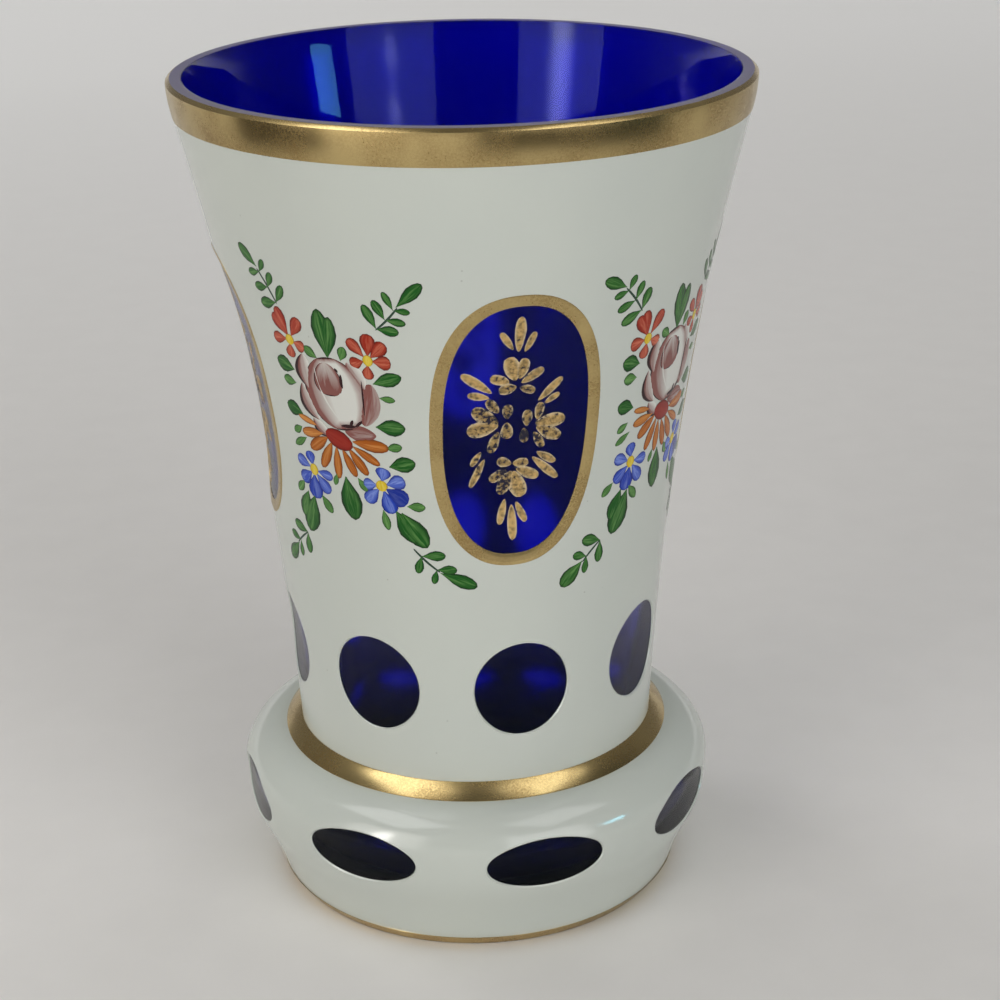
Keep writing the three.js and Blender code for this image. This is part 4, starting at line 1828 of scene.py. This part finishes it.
def pressed_place(maker: TreeMaker) -> Node:
    """Where a point of the tablet goes in a stroke, seen from the stroke's root.

    The stroke swells to its belly from a blunt or pointed root to a blunt or pointed tip. It sags by its
    bend, is ragged at both sides, and is highest along its middle line.

    Args:
        maker: the brush tree's maker.

    Returns:
        The node that gives the place.
    """
    own = {
        label: maker.add(OWN, {"Name": label}, data_type="FLOAT")
        for label in ("long", "half", "turn", "belly", "root", "taper", "bend", "tone")
    }
    stroke = maker.add(OWN, {"Name": "stroke"}, data_type="FLOAT_VECTOR")
    u, v, top = maker.add("ShaderNodeSeparateXYZ", (stroke,)).outputs
    shifted = maker.add(MATH, (v, own["belly"]), operation="POWER")
    angle = maker.add(MATH, (shifted, math.pi), operation="MULTIPLY")
    arch = maker.add(MATH, (angle,), operation="SINE", use_clamp=True)
    blunt = maker.add(MATH, (own["taper"], v, own["root"]), operation="MULTIPLY_ADD")
    swell = maker.add(MATH, (arch, blunt), operation="POWER")
    full = maker.add(RANGE, {"Value": swell, "To Min": LEAST_WIDTH})
    across = maker.add(MATH, (u, 2.0, -1.0), operation="MULTIPLY_ADD")
    side = maker.add(MATH, (across,), operation="SIGN")
    far = maker.add(MATH, (v, RAGS), operation="MULTIPLY")
    apart = maker.add(MATH, (own["tone"], RAGS_APART), operation="MULTIPLY")
    edge = maker.add("ShaderNodeCombineXYZ", {"X": far, "Y": side, "Z": apart})
    noise = maker.add("ShaderNodeTexNoise", {"Vector": edge, "Scale": 1.0, "Detail": 2.0})
    rag = maker.add(MATH, (noise, 0.5), operation="SUBTRACT")
    frayed = maker.add(MATH, (rag, maker.given("Ragged"), 1.0), operation="MULTIPLY_ADD")
    plain = maker.add(MATH, (own["half"], full), operation="MULTIPLY")
    half = maker.add(MATH, (plain, frayed), operation="MULTIPLY")
    ahead = maker.add(MATH, (1.0, v), operation="SUBTRACT")
    between = maker.add(MATH, (v, ahead), operation="MULTIPLY")
    sag = maker.add(MATH, (own["bend"], own["long"]), operation="MULTIPLY")
    bow = maker.add(MATH, (between, sag), operation="MULTIPLY")
    x = maker.add(MATH, (across, half, bow), operation="MULTIPLY_ADD")
    y = maker.add(MATH, (v, own["long"]), operation="MULTIPLY")
    square = maker.add(MATH, (across, across), operation="MULTIPLY")
    crown = maker.add(MATH, (square, -SIDE_DROP, 1.0), operation="MULTIPLY_ADD")
    height = maker.add(MATH, (crown, maker.given("Relief")), operation="MULTIPLY")
    z = maker.add(MIX, {"Factor": top, "A": maker.given("Bottom"), "B": height}, data_type="FLOAT")
    place = maker.add("ShaderNodeCombineXYZ", {"X": x, "Y": y, "Z": z})
    return maker.add("ShaderNodeVectorRotate", {
        "Vector": place, "Angle": own["turn"],
    }, rotation_type="Z_AXIS")


@dataclass
class Painting:
    """The painter's work: an enamel spray between each two upright ovals, and a gilt motif on each oval."""

    net: QuarterNet
    sunk: float = 0.06
    relief: float = 0.05
    gilt_relief: float = 0.04
    ragged: float = 0.12
    gilt_ragged: float = 0.5
    hand: float = 1.0
    rose_hand: float = 0.3
    gilt_hand: float = 0.8
    seed_step: int = 11
    gilt_seed: int = 101

    def build(self) -> None:
        """Paints every spray and every motif."""
        brush = brush_tree()
        small = stamp("small_tablet", 4, 7)
        large = stamp("large_tablet", 14, 16)
        finishes = {paint: paint.value.material() for paint in Paint}
        for number, spray in enumerate(SPRAYS):
            touches: dict[Paint, list[Stroke]] = {}
            for form in spray.forms():
                for paint, stroke in form.touches():
                    touches.setdefault(paint, []).append(stroke)
            for paint, strokes in touches.items():
                tablet, hand = (large, self.rose_hand) if paint is Paint.ROSE else (small, self.hand)
                piece = self.lay(f"spray_{spray.name}_{paint.name.lower()}", strokes, brush, {
                    "Tablet": tablet, "Hand": hand, "Relief": self.relief * MM, "Bottom": -self.sunk * MM,
                    "Ragged": self.ragged, "Seed": self.seed_step * number, "Material": finishes[paint],
                })
                self.wrap(piece, spray.azimuth, self.net.cutting.oval.z, None)
                hand_over(piece, "opal_glass")
        strokes = [stroke for _, stroke in MOTIF.touches()]
        for number, window in enumerate(windows(self.net.cutting.oval, len(SIDES))):
            piece = self.lay(f"gilt_motif_{SIDES[number]}", strokes, brush, {
                "Tablet": small, "Hand": self.gilt_hand, "Relief": self.gilt_relief * MM,
                "Bottom": -self.sunk * MM, "Ragged": self.gilt_ragged, "Seed": self.gilt_seed + number,
                "Material": finishes[Paint.GILT],
            })
            self.wrap(piece, window.azimuth, window.z, window)
            hand_over(piece, "gilding")
        for tablet in (small, large):
            bpy.data.objects.remove(tablet)

    def lay(
        self, name: str, strokes: Sequence[Stroke], brush: TreeMaker, values: dict[str, object],
    ) -> Object:
        """Makes strokes as a flat piece. A stroke's bend is its sag in the middle, as a share of its length.

        Args:
            name: the piece's name.
            strokes: the strokes.
            brush: the tree that shapes them.
            values: what the tree's inputs are set to.

        Returns:
            The flat piece, x to the right and y up.
        """
        piece = mesh_object(name, [Vector((s.x, s.y, s.layer)) for s in strokes], [])
        columns = {
            "turn": [math.radians(s.turn) - math.pi / 2 for s in strokes],
            "long": [s.long * MM for s in strokes],
            "half": [s.wide * MM / 2 for s in strokes],
            "belly": [math.log(0.5) / math.log(s.belly) for s in strokes],
            "root": [s.root for s in strokes],
            "taper": [s.blunt - s.root for s in strokes],
            "bend": [s.bend * 4 for s in strokes],
            "pale": [s.pale for s in strokes],
            "deep": [s.deep for s in strokes],
            "tip_wash": [max(s.washes[3], LEAST_SHARE) for s in strokes],
        }
        for label, column in columns.items():
            piece.data.attributes.new(label, "FLOAT", "POINT").data.foreach_set("value", column)
        washes = [max(share, LEAST_SHARE) for s in strokes for share in s.washes[:3]]
        piece.data.attributes.new("washes", "FLOAT_VECTOR", "POINT").data.foreach_set("vector", washes)
        return brush.bake(piece, values)

    def wrap(self, piece: Object, azimuth: float, z: float, window: Window | None) -> None:
        """Bends a flat piece round the vase.

        Args:
            piece: the flat piece.
            azimuth: where its middle goes, in degrees.
            z: height of its middle.
            window: the window that it is painted in, or None on the white.
        """
        outside = self.net.outside
        for vertex in piece.data.vertices:
            across, up, lift = vertex.co / MM
            length = outside.length_at(z + up)
            turn = math.degrees(across / outside.point(length).x)
            if window:
                share = window.share(outside, azimuth + turn, length)
                lift -= self.net.cutting.edge_depth + window.dish * (1 - share ** 2)
            vertex.co = around(outside.offset(length, lift), azimuth + turn) * MM
        smooth(piece, 60)


@dataclass(frozen=True)
class Spot:
    """A soft bright spot in a window panel. Its place and half sizes are shares of the panel."""

    across: float
    up: float
    wide: float
    high: float
    strength: float


@dataclass(frozen=True)
class Lamp:
    """A rectangular soft lamp that the camera doesn't see, in metres and watts.

    A lamp that lights falls on matt surfaces, and one that shines is mirrored in glass and gold.
    """

    name: str
    place: tuple[float, float, float]
    size: tuple[float, float]
    power: float
    target: tuple[float, float, float] = (0.0, 0.0, 0.05)
    colour: str = "#FFFFFF"
    lights: bool = True
    shines: bool = False
    spots: tuple[Spot, ...] = ()

    @classmethod
    def upright(
        cls, name: str, azimuth: float, distance: float, low: float, size: tuple[float, float], power: float,
        **look: object,
    ) -> "Lamp":
        """An upright lamp that faces the vase's axis. Low is the height of its lower edge."""
        place = around(Vector((distance, low + size[1] / 2)), azimuth)
        return cls(name, tuple(place), size, power, (0.0, 0.0, place.z), **look)

    def hang(self) -> None:
        """Makes the lamp in Blender."""
        light = bpy.data.lights.new(self.name, "AREA")
        light.shape = "RECTANGLE"
        light.size, light.size_y = self.size
        light.energy = self.power
        light.color = linear(self.colour)[:3]
        lamp = bpy.data.objects.new(self.name, light)
        lamp.location = self.place
        lamp.rotation_euler = (Vector(self.target) - Vector(self.place)).to_track_quat("-Z", "Y").to_euler()
        lamp.visible_camera = False
        lamp.visible_diffuse = self.lights
        lamp.visible_glossy = self.shines
        lamp.visible_transmission = self.shines
        bpy.context.scene.collection.objects.link(lamp)
        if self.spots:
            self.brighten(light)

    def brighten(self, light: Light) -> None:
        """Gives the lamp its soft brighter spots.

        Args:
            light: the lamp's light.
        """
        light.use_nodes = True
        tree = light.node_tree
        tree.nodes.clear()
        where = add_node(tree, "ShaderNodeNewGeometry").outputs["Parametric"]
        total: Node | float = 1.0
        for spot in self.spots:
            away = add_node(tree, VECTOR, (where, (spot.across, spot.up, 0.0)), operation="SUBTRACT")
            scaled = add_node(tree, VECTOR, (away, (spot.wide, spot.high, 1.0)), operation="DIVIDE")
            far = add_node(tree, VECTOR, (scaled,), operation="LENGTH")
            bump = add_node(tree, RANGE, {
                "Value": far, "To Min": spot.strength, "To Max": 0.0,
            }, interpolation_type="SMOOTHSTEP")
            total = add_node(tree, MATH, (total, bump), operation="ADD")
        glow = add_node(tree, "ShaderNodeEmission", {"Strength": total})
        add_node(tree, "ShaderNodeOutputLight", {"Surface": glow})


WINDOW = (0.95, 1.15)
WINDOW_LOW = 0.08
WARM_WHITE = "#FFFBF6"
LAMPS = (
    Lamp("back_left_fill", (-1.9, 1.7, 1.3), (1.2, 1.2), 16.5),
    Lamp("back_right_fill", (1.9, 1.7, 1.3), (1.2, 1.2), 9.2),
    Lamp("front_fill", (0.1, -1.2, 1.7), (1.2, 0.8), 1.4),
    Lamp("top_fill", (0.0, -0.3, 2.0), (1.4, 1.4), 5.8),
    Lamp("far_fill", (0.0, 1.9, 1.2), (1.6, 0.6), 4.0, (0.0, 1.9, 0.0)),
    Lamp.upright("left_window_light", -58.0, 1.3, WINDOW_LOW, WINDOW, 7.8, colour=WARM_WHITE),
    Lamp.upright("right_window_light", 22.5, 1.3, WINDOW_LOW, WINDOW, 8.6),
    Lamp.upright(
        "left_window_shine", -58.0, 1.27, WINDOW_LOW, WINDOW, 8.4, colour=WARM_WHITE, lights=False,
        shines=True, spots=(Spot(0.5, 0.5, 0.2, 0.5, 7.0),),
    ),
    Lamp.upright(
        "right_window_shine", 22.5, 1.27, WINDOW_LOW, WINDOW, 7.6, lights=False, shines=True,
        spots=(
            Spot(0.5, 0.46, 0.13, 0.035, 3.0), Spot(0.5, 0.37, 0.13, 0.035, 3.0),
            Spot(0.5, 0.4, 0.1, 0.4, 0.8),
        ),
    ),
    Lamp.upright(
        "blue_glass_door", 56.0, 1.3, 0.37, (0.24, 0.18), 1.7, colour="#8CE8FF", lights=False, shines=True,
    ),
    Lamp("left_skylight", (-0.69, -0.08, 1.44), (0.9, 0.6), 4.6, (0.0, 0.0, 0.1), lights=False, shines=True),
    Lamp("right_skylight", (0.57, -0.38, 1.44), (0.8, 0.6), 3.0, (0.0, 0.0, 0.1), lights=False, shines=True),
)


@dataclass(frozen=True)
class Sector:
    """A stretch of the room's far side, given as the azimuth of its middle and half its width in degrees."""

    azimuth: float
    half: float
    soft: float = 4.0

    def inside(self, tree: NodeTree, way: Node) -> Node:
        """Whether a direction lies in the sector.

        Args:
            tree: the tree of the world or of a material.
            way: the separated direction or place.

        Returns:
            The node that gives 1 inside and 0 outside, with a soft edge.
        """
        front = add_node(tree, MATH, (way.outputs["Y"], -1.0), operation="MULTIPLY")
        angle = add_node(tree, MATH, (way.outputs["X"], front), operation="ARCTAN2")
        aside = add_node(tree, MATH, (angle, math.radians(self.azimuth)), operation="SUBTRACT")
        away = add_node(tree, MATH, (aside,), operation="ABSOLUTE")
        return add_node(tree, RANGE, {
            "Value": away, "From Min": math.radians(self.half),
            "From Max": math.radians(self.half + self.soft), "To Min": 1.0, "To Max": 0.0,
        })


@dataclass(frozen=True)
class Studio:
    """The pale table, the soft lamps and the camera.

    The grain is a colour and how fine it is. A reach is where a change starts and ends, in metres over the
    table or in a direction's height or depth. Over the painted light reach the table is painted paler
    towards
    the back: painted light on the far table. Past the dark reflection reach, in the room's dark sectors,
    glossy
    rays see the table painted dark: a painted dark reflection. The camera sees the plain backdrop past the
    lit reach. The camera's distance and height are in millimetres.
    """

    floor: str = "#EAE8E5"
    grain: tuple[str, float] = ("#E4E2DF", 60.0)
    # painted light: the paler colour that the table is painted towards the back
    far_floor_painted_light: str = "#FBFAF8"
    painted_light_reach: tuple[float, float] = (0.2, 1.2)
    # painted reflection: the dark colour that glossy rays see on the table past this reach, in the dark
    # sectors
    painted_dark_reflection: str = "#2A241E"
    dark_reflection_reach: tuple[float, float] = (0.35, 0.5)
    roughness: float = 0.75
    specular: float = 0.2
    floor_size: float = 9000.0
    backdrop: str = "#FDFCFA"
    backdrop_strength: float = 0.62
    lit_middle: tuple[float, float, float] = (0.2, 0.7, 0.0)
    lit_reach: tuple[float, float] = (0.95, 1.5)
    dark_sectors: tuple[Sector, ...] = (Sector(31.5, 35.5), Sector(-83.0, 18.0))
    room: float = 0.06
    overhead: float = 0.04
    overhead_reach: tuple[float, float] = (0.55, 0.85)
    behind: float = 0.14
    behind_reach: tuple[float, float] = (-0.1, 0.4)
    horizon: float = 0.6
    horizon_reach: tuple[float, float] = (0.07, 0.13)
    lens: float = 79.2
    camera_azimuth: float = -11.0
    camera_distance: float = 522.3
    camera_height: float = 306.26
    camera_yaw: float = -0.802
    camera_pitch: float = 21.6
    camera_roll: float = -0.917

    def build(self) -> None:
        """Sets up the floor, the world, the lamps and the camera."""
        self.build_floor()
        self.build_world()
        for lamp in LAMPS:
            lamp.hang()
        self.build_camera()

    def dark_side(self, tree: NodeTree, way: Node) -> Node | float:
        """Whether a direction lies where the room is unlit.

        Args:
            tree: the tree of the world or of a material.
            way: the separated direction or place.

        Returns:
            The node that gives 1 there and 0 elsewhere.
        """
        dark: Node | float = 0.0
        for sector in self.dark_sectors:
            dark = add_node(tree, MATH, (dark, sector.inside(tree, way)), operation="MAXIMUM")
        return dark

    def build_floor(self) -> None:
        """A plain pale matt table top that runs out of view on every side."""
        half = self.floor_size / 2
        corners = [(-half, -half, 0), (half, -half, 0), (half, half, 0), (-half, half, 0)]
        floor = mesh_object("pale_table", corners, [(0, 1, 2, 3)])
        material, tree = new_material("pale_table_card")
        place = add_node(tree, "ShaderNodeTexCoord").outputs["Object"]
        colour, scale = self.grain
        grain = add_node(tree, "ShaderNodeTexNoise", {"Vector": place, "Scale": scale, "Detail": 5.0})
        near = add_node(tree, MIX, {
            "Factor": grain, "A": linear(self.floor), "B": linear(colour),
        }, data_type="RGBA")
        way = add_node(tree, "ShaderNodeSeparateXYZ", (place,))
        # painted light: the table turns paler towards the back
        far = add_node(tree, RANGE, {
            "Value": way.outputs["Y"], "From Min": self.painted_light_reach[0], "From Max": self.painted_light_reach[1],
        })
        tint = add_node(tree, MIX, {"Factor": far, "A": near, "B": linear(self.far_floor_painted_light)}, data_type="RGBA")
        # painted reflection: far out in the room's dark sectors, glossy rays see the table dark, while the
        # camera and matt surfaces see it pale
        away = add_node(tree, VECTOR, (place,), operation="LENGTH")
        beyond = add_node(tree, RANGE, {
            "Value": away, "From Min": self.dark_reflection_reach[0], "From Max": self.dark_reflection_reach[1],
        })
        dark = add_node(tree, MATH, (self.dark_side(tree, way), beyond), operation="MULTIPLY")
        path = add_node(tree, "ShaderNodeLightPath").outputs
        mirrored = add_node(tree, MATH, (dark, path["Is Glossy Ray"]), operation="MULTIPLY")
        shown = add_node(tree, MIX, {
            "Factor": mirrored, "A": tint, "B": linear(self.painted_dark_reflection),
        }, data_type="RGBA")
        card = add_node(tree, "ShaderNodeBsdfPrincipled", {
            "Base Color": shown, "Roughness": self.roughness, "Specular IOR Level": self.specular,
        })
        spread = add_node(tree, VECTOR, (place, self.lit_middle), operation="DISTANCE")
        outer = add_node(tree, RANGE, {
            "Value": spread, "From Min": self.lit_reach[0], "From Max": self.lit_reach[1],
        }, interpolation_type="SMOOTHSTEP")
        seen = add_node(tree, MATH, (outer, path["Is Camera Ray"]), operation="MULTIPLY")
        plain = add_node(tree, "ShaderNodeEmission", {
            "Color": linear(self.backdrop), "Strength": self.backdrop_strength,
        })
        surface = add_node(tree, "ShaderNodeMixShader", (seen, card, plain))
        add_node(tree, "ShaderNodeOutputMaterial", {"Surface": surface})
        material.cycles.emission_sampling = "NONE"
        floor.data.materials.append(material)

    def build_world(self) -> None:
        """A studio that is pale behind the vase and near the horizon, dark in front, and light overhead."""
        world = bpy.data.worlds.new("studio")
        world.use_nodes = True
        tree = world.node_tree
        tree.nodes.clear()
        place = add_node(tree, "ShaderNodeTexCoord")
        way = add_node(tree, "ShaderNodeSeparateXYZ", (place.outputs["Generated"],))
        parts = (
            ("Z", self.overhead_reach, 0.0, self.overhead),
            ("Y", self.behind_reach, 0.0, self.behind),
            ("Z", self.horizon_reach, self.horizon, 0.0),
        )
        overhead, behind, horizon = (
            add_node(tree, RANGE, {
                "Value": way.outputs[axis], "From Min": low, "From Max": high, "To Min": start,
                "To Max": end,
            }, interpolation_type="SMOOTHSTEP")
            for axis, (low, high), start, end in parts
        )
        lit = add_node(tree, MATH, (1.0, self.dark_side(tree, way)), operation="SUBTRACT")
        glowing = add_node(tree, MATH, (horizon, lit), operation="MULTIPLY")
        low = add_node(tree, MATH, (behind, glowing), operation="ADD")
        high = add_node(tree, MATH, (overhead, self.room), operation="ADD")
        light = add_node(tree, MATH, (low, high), operation="ADD")
        path = add_node(tree, "ShaderNodeLightPath").outputs
        seen = add_node(tree, MIX, {
            "Factor": path["Is Camera Ray"], "A": light, "B": self.backdrop_strength,
        }, data_type="FLOAT")
        glow = add_node(tree, "ShaderNodeBackground", {"Color": linear(self.backdrop), "Strength": seen})
        add_node(tree, "ShaderNodeOutputWorld", {"Surface": glow})
        bpy.context.scene.world = world

    def build_camera(self) -> None:
        """The camera at the photograph's place and angle."""
        camera = bpy.data.cameras.new("camera")
        camera.lens = self.lens
        camera.clip_start = 0.02
        eye = bpy.data.objects.new("camera", camera)
        turn = Matrix.Rotation(math.radians(self.camera_azimuth + self.camera_yaw), 4, "Z")
        tilt = Matrix.Rotation(math.radians(90 - self.camera_pitch), 4, "X")
        roll = Matrix.Rotation(math.radians(self.camera_roll), 4, "Z")
        place = around(Vector((self.camera_distance, self.camera_height)), self.camera_azimuth) * MM
        eye.matrix_world = Matrix.Translation(place) @ turn @ tilt @ roll
        bpy.context.scene.collection.objects.link(eye)
        bpy.context.scene.camera = eye


def main() -> None:
    """Builds the vase and its studio."""
    logging.basicConfig(level=logging.INFO, format="%(name)s: %(message)s")
    bpy.context.scene.view_settings.view_transform = "Standard"
    shape = VaseShape.from_frame()
    net = QuarterNet(shape, Cutting())
    repeat = quarter_tree()
    CobaltBody(net).build(repeat)
    WhiteOverlay(net).build(repeat)
    Gilding(net).build(revolve_tree())
    Painting(net).build()
    Studio().build()


if __name__ == "__main__":
    main()
